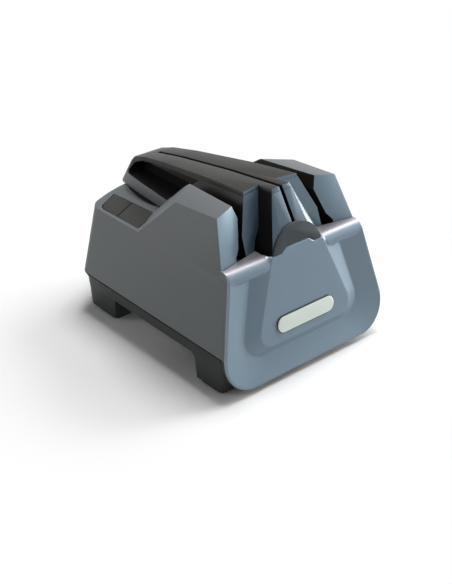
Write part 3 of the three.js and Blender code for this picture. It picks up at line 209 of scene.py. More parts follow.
def effect(tree, name, inputs):
    """The outputs of a shared effect in a material, with this material's own values or links."""
    shared = bpy.data.node_groups.get(name) or EFFECTS[name](name)
    return add_node(tree, "ShaderNodeGroup", inputs, node_tree=shared)


# Finishes


MOULDINGS = {
    # finish: its colour, its roughness, and where it differs from the usual moulding
    "housing moulding": ("housing", 0.5, {}),
    # painted highlight: the housing's rounded edges get a light colour, standing in for light catching
    # them
    "housing edge": ("housing_edge_highlight", 0.4, {"depth": 0.1}),
    "slot liner": ("liner", 0.6, {"shine": 0.2}),
    # black plastic beside the guide's nose, and painted shade in the slit, on low ledges and at the
    # housing's joint with the tray
    "recess black": ("recess", 0.8, {"shine": 0.12}),
    "tray moulding": ("tray", 0.55, {"shine": 0.35}),
    "guide band": ("band", 0.5, {}),
    "soft skin": ("skin", 0.4, {
        "grain": 1500.0, "depth": 0.6, "swing": 0.2, "marks": 0.08, "shine": 0.2}),
    "disc moulding": ("disc", 0.5, {"shine": 0.35}),
    "rocker moulding": ("rocker", 0.72, {"grain": 1800.0, "depth": 0.4, "swing": 0.25, "shine": 0.35}),
    "pad rubber": ("rubber", 0.85, {"grain": 1200.0, "depth": 0.5}),
    "inner polymer": ("polymer", 0.5, {}),
    "ceramic rod": ("ceramic", 0.6, {"grain": 3000.0, "swing": 0.05}),
    "board lacquer": ("board", 0.4, {"grain": 500.0, "swing": 0.3}),
    "badge enamel": ("badge", 0.3, {"depth": 0.05, "swing": 0.03, "marks": 0.02}),
    "badge edge": ("badge_edge", 0.4, {"depth": 0.05}),
}


def new_material(name):
    """The node tree and the shader of a new material."""
    material = bpy.data.materials.new(name)
    material.use_nodes = True
    return material.node_tree, material.node_tree.nodes["Principled BSDF"]


def bumped(tree, height, strength, distance):
    """The normals of a surface with this relief."""
    return add_node(tree, "ShaderNodeBump", {
        "Strength": strength, "Distance": distance, "Height": height})["Normal"]


def moulded(name, colour, roughness, grain=2600.0, depth=0.25, swing=0.12, marks=0.05, shine=0.5):
    """Moulded plastic: fine grain, slow cloudiness and faint handling marks."""
    tree, shader = new_material(name)
    grained = effect(tree, "Moulded Grain", {
        "Colour": linear(colour), "Roughness": roughness, "Grain Scale": grain, "Tone Swing": swing})
    handled = effect(tree, "Handling Marks", {
        "Colour": grained["Colour"], "Roughness": grained["Roughness"], "Amount": marks})
    feed(tree, shader, {
        "Base Color": handled["Colour"], "Roughness": handled["Roughness"],
        "Specular IOR Level": shine, "Normal": bumped(tree, grained["Height"], depth, 0.05 * MM)})


def metallic_paint(name, colour, metallic, highlight_colour=None, roughness=0.42):
    """Satin metallic paint over plastic: flakes under a thin clear coat.

    The highlight colour, a painted highlight, takes over where the mesh's attribute for it says so.
    """
    more_metal, less_rough = 0.35, -0.08
    tree, shader = new_material(name)
    base = linear(colour)
    # Painted highlight: the highlight colour mixes in, a little more metallic and smoother.
    if highlight_colour is not None:
        highlight_share = add_node(tree, "ShaderNodeAttribute", {}, attribute_name="painted_highlight")["Fac"]
        base = add_node(tree, "ShaderNodeMix", {
            "A": base, "B": linear(highlight_colour), "Factor": highlight_share}, data_type="RGBA")["Result"]
        metallic = calc(tree, "MULTIPLY_ADD", highlight_share, more_metal, metallic)
        roughness = calc(tree, "MULTIPLY_ADD", highlight_share, less_rough, roughness)
    flakes = effect(tree, "Paint Flakes", {"Colour": base, "Flake Scale": 4200.0, "Sparkle": 0.16})
    grained = effect(tree, "Moulded Grain", {
        "Colour": flakes["Colour"], "Roughness": roughness, "Grain Scale": 900.0, "Tone Swing": 0.05})
    feed(tree, shader, {
        "Base Color": grained["Colour"], "Roughness": grained["Roughness"], "Metallic": metallic,
        "Coat Weight": 0.15, "Coat Roughness": 0.25,
        "Normal": bumped(tree, flakes["Height"], 0.03, 0.02 * MM)})


def metal(name, colour, roughness, stretch):
    """Turned or drawn metal; its lines lie across the axes of most stretch."""
    tree, shader = new_material(name)
    lines = effect(tree, "Drawn Metal", {
        "Colour": linear(colour), "Roughness": roughness, "Stretch": stretch})
    feed(tree, shader, {
        "Base Color": lines["Colour"], "Roughness": lines["Roughness"], "Metallic": 1.0,
        "Normal": bumped(tree, lines["Height"], 0.2, 0.02 * MM)})


def abrasive(name, colour):
    """Abrasive grain on a cloth belt: sharp cells with darker hollows."""
    tree, shader = new_material(name)
    grained = effect(tree, "Moulded Grain", {
        "Colour": linear(colour), "Roughness": 0.9, "Grain Scale": 3400.0, "Tone Swing": 0.7})
    flakes = effect(tree, "Paint Flakes", {
        "Colour": grained["Colour"], "Flake Scale": 3000.0, "Sparkle": 0.6})
    feed(tree, shader, {
        "Base Color": flakes["Colour"], "Roughness": grained["Roughness"],
        "Normal": bumped(tree, flakes["Height"], 0.9, 0.15 * MM)})


def finishes():
    """The materials, with every finish of the sharpener made once."""
    if "housing moulding" not in bpy.data.materials:
        colours = bpy.context.scene.sharpener_colours
        for name, (colour, roughness, own) in MOULDINGS.items():
            moulded(name, getattr(colours, colour), roughness, **own)
        # the rests' painted highlight colour mixes in by an attribute of the cover's mesh
        metallic_paint("cover paint", colours.cover, 0.2, colours.rest)
        # painted light: the facets are lighter and bluer than the housing's grey, standing in for cool
        # light on them
        metallic_paint("facet paint", colours.facet, 0.2)
        metallic_paint("guide paint", colours.guide, 0.1)
        metal("turned steel", colours.steel, 0.3, (300.0, 9000.0, 300.0))
        metal("blackened steel", colours.dark_steel, 0.45, (4000.0, 4000.0, 400.0))
        abrasive("abrasive grain", colours.belt)
    return bpy.data.materials


# Mesh helpers


def merged(*nodes):
    """The surfaces of CAD nodes as one welded bmesh with its flat faces whole."""
    work = bmesh.new()
    for node in nodes:
        work.from_mesh(frame["nodes"][node].data)
    bmesh.ops.remove_doubles(work, verts=work.verts, dist=WELD)
    bmesh.ops.dissolve_limit(work, angle_limit=FLAT_ANGLE, verts=work.verts, edges=work.edges)
    return work


def part_faces(work, place, normal):
    """Every face that the plane crosses is parted along it."""
    bmesh.ops.bisect_plane(work, geom=[*work.verts, *work.edges, *work.faces], plane_co=place,
                           plane_no=normal)


def band(work, outer, inner, look=0):
    """Faces between two rings of vertices, with this place in the list of finishes."""
    for index in range(len(outer)):
        corners = [outer[index - 1], outer[index], inner[index], inner[index - 1]]
        work.faces.new(corners).material_index = look


def as_object(work, name, *looks):
    """A new object from a bmesh, with these finishes."""
    mesh = bpy.data.meshes.new(name)
    work.to_mesh(mesh)
    work.free()
    piece = bpy.data.objects.new(name, mesh)
    bpy.context.scene.collection.objects.link(piece)
    for look in looks:
        mesh.materials.append(finishes()[look])
    return piece


def make_plain(piece):
    """The piece's modifiers become plain mesh."""
    depsgraph = bpy.context.evaluated_depsgraph_get()
    mesh = bpy.data.meshes.new_from_object(piece.evaluated_get(depsgraph), depsgraph=depsgraph)
    piece.modifiers.clear()
    piece.data = mesh


def smooth(piece, angle=40):
    """Smooth shading but for edges sharper than the angle."""
    piece.data.polygons.foreach_set("use_smooth", [True] * len(piece.data.polygons))
    piece.data.set_sharp_from_angle(angle=math.radians(angle))


def round_edges(piece, width, segments=3, angle=24, edge=-1):
    """Rounds edges sharper than the angle; edge is the place of the finish they get."""
    bevel = piece.modifiers.new("edges", "BEVEL")
    bevel.width = width
    bevel.segments = segments
    bevel.limit_method = "ANGLE"
    bevel.angle_limit = math.radians(angle)
    bevel.miter_outer = "MITER_ARC"
    bevel.material = edge
    make_plain(piece)
    smooth(piece)


def softened(node, name, looks, width, region=None, level=None, edge=None, drop=0.0):
    """A copy of a CAD node with its edges rounded, which stands for the node.

    The region function names a face's finish and edge names that of the rounded edges. The faces
    are first parted at a level where one is given, and the underside is lowered by the drop.
    """
    work = merged(node)
    for vert in {vert for face in work.faces if face.normal.z < -STEEP for vert in face.verts}:
        vert.co.z -= drop
    if level is not None:
        part_faces(work, (0.0, 0.0, level), (0.0, 0.0, 1.0))
    if region is not None:
        for face in work.faces:
            face.material_index = looks.index(region(face))
    piece = as_object(work, name, *looks)
    round_edges(piece, width, edge=-1 if edge is None else looks.index(edge))
    take_over(piece, node)
    return piece


def join_into(target, piece):
    """The piece becomes part of the target's mesh, with its attributes."""
    with bpy.context.temp_override(active_object=target, selected_editable_objects=[target, piece]):
        bpy.ops.object.join()


def take_over(piece, *nodes):
    """The piece rides on its nodes' body and hides them."""
    record = frame["record"]
    body = next(name for name, members in record["behaviour"]["bodies"].items() if nodes[0] in members)
    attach(piece, body)
    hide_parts(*nodes)


def run_tree(piece, tree, values):
    """The piece shaped by a geometry node tree with these input values, as plain mesh."""
    modifier = piece.modifiers.new("shape", "NODES")
    modifier.node_group = tree
    for item in tree.interface.items_tree:
        if item.in_out == "INPUT" and item.name in values:
            modifier[item.identifier] = values[item.name]
    make_plain(piece)


def geometry_tree(name, *labels):
    """A geometry node tree with these inputs between its geometry and its material."""
    return new_tree(name, ("Geometry", *labels, "Material"), ("Geometry",), "GeometryNodeTree")


def close_tree(tree, start, end, geometry):
    """The tree ends with its instances made real and its material set."""
    real = add_node(tree, "GeometryNodeRealizeInstances", {0: geometry})[0]
    feed(tree, end, {0: add_node(tree, "GeometryNodeSetMaterial", {
        "Geometry": real, "Material": start["Material"]})[0]})
    return tree


# Front cover: a leaning plate, dished between its rim and the middle panel


COVER_FOOT = 3.5 * MM
COVER_FRONT = -84.8 * MM
COVER_LEAN = 0.205
COVER_LIMIT = 80 * MM  # no half of the plate is wider
COVER_CREASE = 0.05  # share of the dish's depth over which its valley is rounded
COVER_ROWS = 110
COVER_COLUMNS = 180
REST_HEIGHT = 75.7 * MM
REST_LEDGE = 71.2 * MM
REST_INNER = 22.4 * MM
REST_OUTER = 53.4 * MM
REST_FLARE = 0.23
REST_GAP = 0.5 * MM  # from the panel's outline to where a rest begins
REST_BLEND = 1.6 * MM
REST_HIGHLIGHT_DROP = 1.5 * MM  # how far below its top the painted highlight on a rest begins
REST_FRONT = 2.5 * MM  # from the plate's face to where a rest's side is the housing's grey
BACK_MIDDLE = 40 * MM  # height of the middle that the plate's outer edge faces away from
FACET_PLACE = 31.8 * MM  # from the cover's foot to the housing's slanted facet at the middle
FACET_SLANT = 0.196
FLANGE_WIDTH = 2 * MM
TAB_HEIGHT = 78.6 * MM
TAB_HALF = 9.1 * MM
TAB_FOOT_HALF = 13.2 * MM
TAB_START = 0.9  # share of the height where the rows begin to rise into the tab
HIGHLIGHT_START = 0.5  # share of the roll where the painted highlight on a rest begins
HIGHLIGHT_BLEND = 0.4
EDGE_HIGHLIGHT = 0.7  # strength of the painted highlight along the plate's outer edge
EDGE_HIGHLIGHT_WIDTH = 0.8 * MM
TINY = 1e-7  # keeps a ratio from dividing by zero
OUTLINES = {
    # outline: height of its foot, half its width there and at the rests, corner radius
    "rim": (3.5 * MM, 70.0 * MM, 53.4 * MM, 20.0 * MM),
    "valley": (18.2 * MM, 49.6 * MM, 34.1 * MM, 13.0 * MM),
    "panel": (24.2 * MM, 40.0 * MM, 20.1 * MM, 8.0 * MM),
}


def outline_distance(x, z, outline):
    """Distance outside a trapezoid, open above and round at its lower corners; negative inside."""
    foot, foot_half, top_half, radius = OUTLINES[outline]
    rise = REST_HEIGHT - foot
    slope = math.hypot(rise, foot_half - top_half)
    side = (rise / slope, (foot_half - top_half) / slope)
    to_side = (abs(x) - foot_half) * side[0] + (z - foot) * side[1] + radius
    to_foot = foot - z + radius
    slant = -side[1]
    if to_side > to_foot * slant and to_foot > to_side * slant:
        square = to_side ** 2 + to_foot ** 2 - 2 * to_side * to_foot * slant
        return math.sqrt(square / (1 - slant ** 2)) - radius
    return max(to_side, to_foot) - radius


def cover_top(x):
    """Height of the plate's top edge: level, with a tab in the middle."""
    along = (TAB_FOOT_HALF - abs(x)) / (TAB_FOOT_HALF - TAB_HALF)
    return REST_HEIGHT + (TAB_HEIGHT - REST_HEIGHT) * min(max(along, 0.0), 1.0)


def cover_face(z):
    """Front of the plate at a height, before it is dished."""
    return COVER_FRONT + COVER_LEAN * (z - COVER_FOOT)


def cover_half(z):
    """Half the plate's width at a height, with its round lower corners, by halving."""
    low, high = 0.0, COVER_LIMIT
    for _ in range(30):
        middle = (low + high) / 2
        if outline_distance(middle, z, "rim") < 0:
            low = middle
        else:
            high = middle
    return low


def eased(value):
    """A share held between 0 and 1, with soft ends."""
    value = min(max(value, 0.0), 1.0)
    return value * value * (3 - 2 * value)


def edge_steps(count, fine=0.02):
    """Shares from 0 to 1, even in the middle and close together near both ends."""
    even = [index / count for index in range(count + 1)]
    near = [share * fine for share in (0.12, 0.3, 0.55, 0.8)]  # closer still at the very edge
    return sorted({*even, *near, *[1 - share for share in near]})


def cover_grid(roll):
    """Front and back of the plate as one closed flat shell, with its distances stored on it."""
    work = bmesh.new()
    names = ("edge", "rim", "valley", "panel", "rest", "rise", "painted_highlight", "back")
    layers = {name: work.verts.layers.float.new(name) for name in names}
    rows = edge_steps(COVER_ROWS)
    columns = edge_steps(COVER_COLUMNS)
    sides = []
    for back in (0, 1):
        grid = []
        for row in rows:
            height = COVER_FOOT + (REST_HEIGHT - COVER_FOOT) * row
            half = max(cover_half(max(height, COVER_FOOT + 2 * HAIR)), 1 * MM)
            lifted = max(0.0, (row - TAB_START) / (1 - TAB_START))
            line = []
            for column in columns:
                x = half * (2 * column - 1)
                z = height + (cover_top(x) - REST_HEIGHT) * lifted
                rim = outline_distance(x, z, "rim")
                panel = outline_distance(x, z, "panel")
                rise = z - (REST_HEIGHT - roll)
                rest = eased((panel - REST_GAP) / REST_BLEND)
                # Painted highlight: silvery along the top of each rest's roll, lighter along the
                # plate's outer edge.
                rest_highlight = rest * eased((rise / roll - HIGHLIGHT_START) / HIGHLIGHT_BLEND)
                edge = rim if rest >= 0.5 else max(rim, z - cover_top(x))
                painted_highlight = max(rest_highlight, EDGE_HIGHLIGHT * eased(1 + rim / EDGE_HIGHLIGHT_WIDTH))
                values = (edge, rim, outline_distance(x, z, "valley"), panel, rest, rise, painted_highlight, back)
                vert = work.verts.new((x, cover_face(z), z))
                for name, value in zip(names, values):
                    vert[layers[name]] = value
                line.append(vert)
            grid.append(line)
        sides.append(grid)
        for lower, upper in zip(grid, grid[1:]):
            for index in range(len(lower) - 1):
                quad = [lower[index], lower[index + 1], upper[index + 1], upper[index]]
                work.faces.new(quad[::-1] if back else quad)
    front, rear = (grid[0][:-1] + [line[-1] for line in grid[:-1]] + grid[-1][:0:-1]
                   + [line[0] for line in grid[:0:-1]] for grid in sides)
    band(work, rear, front)
    return work


def dish_tree():
    """Dishes the plate, rolls its top into the rests, rounds its edge and gives it its thickness."""
    tree, start, end = geometry_tree("Dished Plate", "Depth", "Rim Width", "Crease", "Rest Roll",
                                     "Edge Radius", "Thickness", "Flange")

    def stored(name):
        return add_node(tree, "GeometryNodeInputNamedAttribute", {"Name": name},
                        data_type="FLOAT")["Attribute"]

    def step(operation, *values):
        return calc(tree, operation, *values)

    def above_zero(value):
        return step("MAXIMUM", value, 0.0)

    def ratio(near, far):
        return step("DIVIDE", near, step("ADD", step("ADD", near, far), TINY))

    def quarter_round(radius, off_centre):
        """How far a rounding of this radius lies behind its tangent plane."""
        chord = step("SUBTRACT", step("MULTIPLY", radius, radius),
                     step("MULTIPLY", off_centre, off_centre))
        return step("SUBTRACT", radius, step("SQRT", above_zero(chord)))

    rim, valley, rise = stored("rim"), stored("valley"), stored("rise")
    inside = above_zero(step("SUBTRACT", step("MULTIPLY", rim, -1.0), start["Rim Width"]))
    outer = ratio(inside, above_zero(valley))
    inner = step("SUBTRACT", 1.0, ratio(above_zero(step("MULTIPLY", valley, -1.0)),
                                        above_zero(stored("panel"))))
    dish = above_zero(step("SMOOTH_MIN", outer, inner, start["Crease"]))
    depth = step("MULTIPLY", dish, start["Depth"])
    over = step("GREATER_THAN", rise, 0.0)
    rest = step("MINIMUM", step("ADD", depth, over), quarter_round(start["Rest Roll"], rise))
    depth = step("ADD", depth, step("MULTIPLY", step("SUBTRACT", rest, depth), stored("rest")))
    radius = start["Edge Radius"]
    front = step("ADD", depth, quarter_round(radius, above_zero(step("ADD", radius, stored("edge")))))
    skirt = above_zero(step("ADD", 1.0, step("DIVIDE", rim, FLANGE_WIDTH)))
    rear = step("ADD", step("ADD", depth, start["Thickness"]), step("MULTIPLY", skirt, start["Flange"]))
    shift = step("ADD", front, step("MULTIPLY", step("SUBTRACT", rear, front), stored("back")))
    moved = add_node(tree, "GeometryNodeSetPosition", {
        "Geometry": start["Geometry"], "Offset": vector(tree, Y=shift)})[0]
    return close_tree(tree, start, end, moved)


def rest_back(x):
    """Where a rest meets the housing's slanted facet."""
    return COVER_FRONT + FACET_PLACE - FACET_SLANT * x


def rest_block(side, roll, thickness, steps=8):
    """The part of one blade rest behind the plate's rolled top, up to the housing's slanted facet."""
    work = bmesh.new()
    painted_highlight = work.verts.layers.float.new("painted_highlight")
    sections = []
    for step in range(steps + 1):
        z = REST_LEDGE + (REST_HEIGHT - HAIR - REST_LEDGE) * math.sin(math.pi / 2 * step / steps)
        rise = max(z - (REST_HEIGHT - roll), 0.0)
        front = cover_face(z) + roll - math.sqrt(max(roll * roll - rise * rise, 0.0)) + thickness / 2
        outer = REST_OUTER + REST_FLARE * (REST_HEIGHT - z)
        sections.append([work.verts.new((side * x, y, z)) for x, y in (
            (REST_INNER, front), (outer, front), (outer, rest_back(outer)),
            (REST_INNER, rest_back(REST_INNER)))])
    # Painted highlight: the rest's top takes the silvery highlight colour.
    for vert in work.verts:
        vert[painted_highlight] = eased((vert.co.z - REST_HEIGHT + REST_HIGHLIGHT_DROP) / MM)
    work.faces.new(sections[0])
    work.faces.new(sections[-1])
    for low, high in zip(sections, sections[1:]):
        band(work, low, high)
    bmesh.ops.recalc_face_normals(work, faces=work.faces)
    return work


# Properties


def length(name, description, default):
    return bpy.props.FloatProperty(name=name, description=description, default=default, min=0.0,
                                   unit="LENGTH", precision=5)


def tint(name, default):
    return bpy.props.FloatVectorProperty(
        name=name, description=f"Colour of the {name.lower()}", default=default, size=3, min=0.0,
        max=1.0, subtype="COLOR_GAMMA")


class SharpenerSizes(bpy.types.PropertyGroup):
    """Sizes of the visible detail"""

    edge: length("Moulding Edge", "Rounding of the housing's edges", 0.6 * MM)
    guide_edge: length("Guide Edge", "Rounding of the guide's edges", 0.2 * MM)
    skin_edge: length("Skin Edge", "Rounding of the soft skin's edges", 0.15 * MM)
    skin_drop: length("Skin Drop", "How far its underside is lowered", 0.25 * MM)
    dish_depth: length("Dish Depth", "Depth between rim and panel", 3.9 * MM)
    cover_edge: length("Cover Edge", "Rounding of its outer edge", 0.9 * MM)
    cover_thickness: length("Cover Thickness", "Wall of the cover", 1.6 * MM)
    cover_flange: length("Cover Flange", "Reach of its rim behind the wall", 1.3 * MM)
    cover_rim: length("Cover Rim", "Width of the flat rim", 1.6 * MM)
    rest_roll: length("Rest Roll", "Radius of the blade rests' front", 4.7 * MM)
    rocker_groove: length("Rocker Groove", "Width of the line across the rocker", 0.9 * MM)
    badge_rim: length("Badge Rim", "Width of its dark edge", 0.45 * MM)
    drive_slot: length("Driver Recess", "Width of a screw's cross", 0.7 * MM)
    tread_pitch: length("Tread Pitch", "From rib to rib under a pad", 2.0 * MM)


class SharpenerColours(bpy.types.PropertyGroup):
    """Colours of the finishes"""

    housing: tint("Housing", (0.33, 0.35, 0.36))
    # Painted highlight: the light colour of the housing's rounded edges, for light catching them
    housing_edge_highlight: tint("Housing Edge", (0.62, 0.66, 0.70))
    # Painted light: lighter and bluer than the housing's grey, for cool light falling on the front
    # facets
    facet: tint("Front Facets Painted Light", (0.46, 0.55, 0.61))
    liner: tint("Slot Liner", (0.12, 0.11, 0.10))
    # Black of the walls beside the guide's nose, also painted shade in the slit, on low ledges and at
    # the housing's joint
    recess: tint("Recess", (0.03, 0.03, 0.03))
    # Painted highlight: silvery colour on the tops of the blade rests and along the cover's outer edge
    rest: tint("Blade Rests Painted Highlight", (0.58, 0.575, 0.60))
    tray: tint("Tray", (0.155, 0.175, 0.17))
    cover: tint("Cover", (0.43, 0.51, 0.57))
    guide: tint("Guide", (0.29, 0.375, 0.43))
    band: tint("Guide Band", (0.38, 0.39, 0.40))
    skin: tint("Guide Skin", (0.10, 0.098, 0.09))
    disc: tint("Front Disc", (0.165, 0.205, 0.225))
    rocker: tint("Rocker", (0.16, 0.16, 0.155))
    rubber: tint("Rubber", (0.07, 0.07, 0.07))
    polymer: tint("Inner Polymer", (0.12, 0.12, 0.12))
    ceramic: tint("Ceramic", (0.86, 0.85, 0.82))
    board: tint("Board", (0.10, 0.30, 0.15))
    badge: tint("Badge", (0.86, 0.90, 0.87))
    badge_edge: tint("Badge Edge", (0.10, 0.11, 0.11))
    steel: tint("Steel", (0.66, 0.67, 0.68))
    dark_steel: tint("Dark Steel", (0.16, 0.16, 0.17))
    belt: tint("Abrasive", (0.62, 0.28, 0.17))
    floor: tint("Floor", (0.98, 0.98, 0.98))


# Regions: which finish a face gets, by its place and the way it faces


SEAM_FOOT = 25.9 * MM
HOUSING_HEM = 27.4 * MM
FACET_LEVEL = 76 * MM  # front faces of the housing that reach above this are facets
SLOT_LEVEL = 71.5 * MM
SLOT_REACH = 44 * MM
BAND_TOP = 78.2 * MM
BAND_FRONT = -48 * MM
SKIN_LEVEL = 77 * MM
SLIT_HALF = 5.5 * MM
SLIT_FRONT = -38 * MM
NOSE_HALF = 24 * MM
NOSE_BACK = -38 * MM
NOSE_WALLS = (-56 * MM, -41 * MM)  # front and back limits of the walls beside the nose
PAINT_BACK = -30 * MM
# Shares of a face's normal that count as facing that way
OUTWARD, SLANTED, RIM_TURN, NEARLY_FRONT, NOSE_TURN = 0.1, 0.3, 0.35, 0.4, 0.45
STEEP, SIDEWAYS, FLAT = 0.5, 0.8, 0.9


def span(face, axis):
    """Lowest and highest coordinate of a face along an axis."""
    values = [vert.co[axis] for vert in face.verts]
    return min(values), max(values)


def housing_region(face):
    """Facets above the deck get paint with painted light, and walls that face the blade slots are
    lined.
    """
    high = span(face, 2)[1]
    middle = face.calc_center_median().x
    inward = -face.normal.x if middle > 0 else face.normal.x
    if high > FACET_LEVEL and face.normal.y < -STEEP:
        return "facet paint"
    lined = high > SLOT_LEVEL and inward > SLANTED and abs(middle) < SLOT_REACH
    return "slot liner" if lined else "housing moulding"


def guide_region(face):
    """Painted front, soft sides and pockets, black beside the nose, painted shade in the slit and on
    low ledges, a band at the foot.
    """
    normal = face.normal
    (left, right), (front, back), high = span(face, 0), span(face, 1), span(face, 2)[1]
    reach = max(abs(left), abs(right))
    nose = back < NOSE_BACK and normal.y > -NOSE_TURN
    if reach < NOSE_HALF and (nose or NOSE_WALLS[0] < front < back < NOSE_WALLS[1]):
        return "recess black"
    if normal.y < -NEARLY_FRONT and back < PAINT_BACK:
        return "guide paint"
    # Painted shade: the slit's walls and the low flat ledges are black.
    if reach < SLIT_HALF and front > SLIT_FRONT or normal.z > FLAT and high < BAND_TOP + 0.5 * MM:
        return "recess black"
    outer = abs(normal.x) > STEEP or normal.y > SLANTED
    if high < BAND_TOP + 0.1 * MM and outer and front > BAND_FRONT:
        return "guide band"
    return "soft skin" if high > SKIN_LEVEL else "guide paint"


def skin_region(face):
    """The soft skin's front edge is in the guide's paint."""
    painted = face.normal.y < -STEEP and span(face, 1)[1] < PAINT_BACK
    return "guide paint" if painted else "soft skin"


def tray_region(face):
    """Painted shade: the tray's strip at the joint under the housing is black."""
    return "recess black" if span(face, 2)[0] > SEAM_FOOT - 0.05 * MM else "tray moulding"


# Operators


class SHARPENER_OT_housing(bpy.types.Operator):
    """Round the edges of the main housing and the base tray"""

    bl_idname = "sharpener.housing"
    bl_label = "Housing and Tray"

    def execute(self, context):
        sizes = context.scene.sharpener_sizes
        looks = ("housing moulding", "facet paint", "slot liner", "housing edge", "recess black")
        # The rounded edges get the painted highlight colour.
        housing = softened("main_housing", "housing", looks, sizes.edge, housing_region, HOUSING_HEM,
                           edge="housing edge")
        # Painted shade: the housing's strip below its hem, at the joint with the tray, is black.
        for face in housing.data.polygons:
            if face.center.z < HOUSING_HEM:
                face.material_index = looks.index("recess black")
        softened("base_tray", "tray", ("tray moulding", "recess black"), sizes.edge, tray_region,
                 SEAM_FOOT)
        return {"FINISHED"}


class SHARPENER_OT_guide(bpy.types.Operator):
    """Round the edges of the blade guide, its soft skin and its front disc"""

    bl_idname = "sharpener.guide"
    bl_label = "Blade Guide"

    def execute(self, context):
        sizes = context.scene.sharpener_sizes
        softened("guide_body", "guide", ("guide paint", "soft skin", "recess black", "guide band"),
                 sizes.guide_edge, guide_region, BAND_TOP)
        softened("guide_top_cover", "guide_skin", ("soft skin", "guide paint"), sizes.skin_edge,
                 skin_region, drop=sizes.skin_drop)
        softened("guide_front_disc", "guide_disc", ("disc moulding",), sizes.guide_edge)
        return {"FINISHED"}


class SHARPENER_OT_cover(bpy.types.Operator):
    """Build the dished front cover with its blade rests"""

    bl_idname = "sharpener.cover"
    bl_label = "Front Cover"

    def execute(self, context):
        sizes = context.scene.sharpener_sizes
        cover = as_object(cover_grid(sizes.rest_roll), "front_plate", "cover paint")
        run_tree(cover, dish_tree(), {
            "Depth": sizes.dish_depth, "Rim Width": sizes.cover_rim, "Crease": COVER_CREASE,
            "Rest Roll": sizes.rest_roll, "Edge Radius": sizes.cover_edge,
            "Thickness": sizes.cover_thickness, "Flange": sizes.cover_flange,
            "Material": finishes()["cover paint"]})
        for side in (-1, 1):
            work = rest_block(side, sizes.rest_roll, sizes.cover_thickness)
            block = as_object(work, "rest", "cover paint")
            round_edges(block, 0.4 * MM, segments=2, angle=40)
            join_into(cover, block)
        self.paint_back(cover.data)
        smooth(cover, angle=50)
        take_over(cover, "front_cover")
        return {"FINISHED"}

    def paint_back(self, mesh):
        """The rests' sides and the plate's outer edge take the colour of what is behind them."""
        tray, housing = 1, 2
        mesh.materials.append(finishes()["tray moulding"])
        mesh.materials.append(finishes()["housing moulding"])
        for face in mesh.polygons:
            middle, normal = face.center, face.normal
            behind = middle.y > cover_face(middle.z) + REST_FRONT
            if abs(normal.x) > SIDEWAYS and middle.z > REST_LEDGE and behind:
                face.material_index = housing
            outward = Vector((middle.x / 4, 0.0, middle.z - BACK_MIDDLE)).normalized()
            if normal.y > -RIM_TURN and normal.dot(outward) > OUTWARD and middle.z < REST_LEDGE:
                face.material_index = housing if middle.z > HOUSING_HEM else tray


BADGE_STAND = 0.72 * MM  # from the cover's undished face out to the badge's rim
BADGE_WALL = 0.75 * MM
BADGE_CHAMFER = 0.12 * MM
BADGE_STEPS = 24  # along each half-round end


class SHARPENER_OT_badge(bpy.types.Operator):
    """Build the bare pill badge with its dark edge"""

    bl_idname = "sharpener.badge"
    bl_label = "Badge"

    def execute(self, context):
        rim = context.scene.sharpener_sizes.badge_rim
        low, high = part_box("badge_plate")
        height = high.z - low.z
        half = (high.x - low.x) / 2 - height / 2
        middle = (high.z + low.z) / 2
        # How far in from the outline each ring lies, and how far behind the badge's rim
        levels = [(0.0, BADGE_WALL), (0.0, 0.1 * MM), (BADGE_CHAMFER, 0.0), (rim, 0.0),
                  (rim + BADGE_CHAMFER, -BADGE_CHAMFER), (rim + 1.2 * MM, -0.2 * MM)]
        enamel_level = 3  # the bands from this one inward are enamel
        work = bmesh.new()
        rings = []
        for inset, depth in levels:
            radius = height / 2 - inset
            ring = []
            for side in (1, -1):
                for step in range(BADGE_STEPS + 1):
                    angle = side * -math.pi / 2 + math.pi * step / BADGE_STEPS
                    z = middle + radius * math.sin(angle)
                    ring.append(work.verts.new((side * half + radius * math.cos(angle),
                                                cover_face(z) + depth - BADGE_STAND, z)))
            rings.append(ring)
        for level, (outer, inner) in enumerate(zip(rings, rings[1:])):
            band(work, outer, inner, 1 if level < enamel_level else 0)
        work.faces.new(rings[-1])
        work.faces.new(rings[0][::-1]).material_index = 1
        bmesh.ops.recalc_face_normals(work, faces=work.faces)
        badge = as_object(work, "badge", "badge enamel", "badge edge")
        smooth(badge)
        take_over(badge, "badge_plate")
        return {"FINISHED"}


ROCKER_MIDDLE = Vector((-41.3, 44.65, 0.0)) * MM
ROCKER_TURN = math.radians(26.8)
GROOVE_DEPTH = 0.7 * MM
GROOVE_LIP = 0.06 * MM


class SHARPENER_OT_rocker(bpy.types.Operator):
    """Build the rocker with the line across its middle"""

    bl_idname = "sharpener.rocker"
    bl_label = "Rocker"

    def execute(self, context):
        work = merged("power_rocker")
        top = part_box("power_rocker")[1].z - HAIR
        half = context.scene.sharpener_sizes.rocker_groove / 2
        along = Vector((-math.sin(ROCKER_TURN), math.cos(ROCKER_TURN), 0.0))
        for offset in (-half - GROOVE_LIP, -half, half, half + GROOVE_LIP):
            part_faces(work, ROCKER_MIDDLE + along * offset, along)
        for vert in work.verts:
            near = abs((vert.co - ROCKER_MIDDLE).dot(along)) < half + GROOVE_LIP / 2
            if vert.co.z > top and near:
                vert.co.z -= GROOVE_DEPTH
        bmesh.ops.recalc_face_normals(work, faces=work.faces)
        rocker = as_object(work, "rocker", "rocker moulding")
        round_edges(rocker, 0.12 * MM, segments=2, angle=30)
        take_over(rocker, "power_rocker")
        return {"FINISHED"}


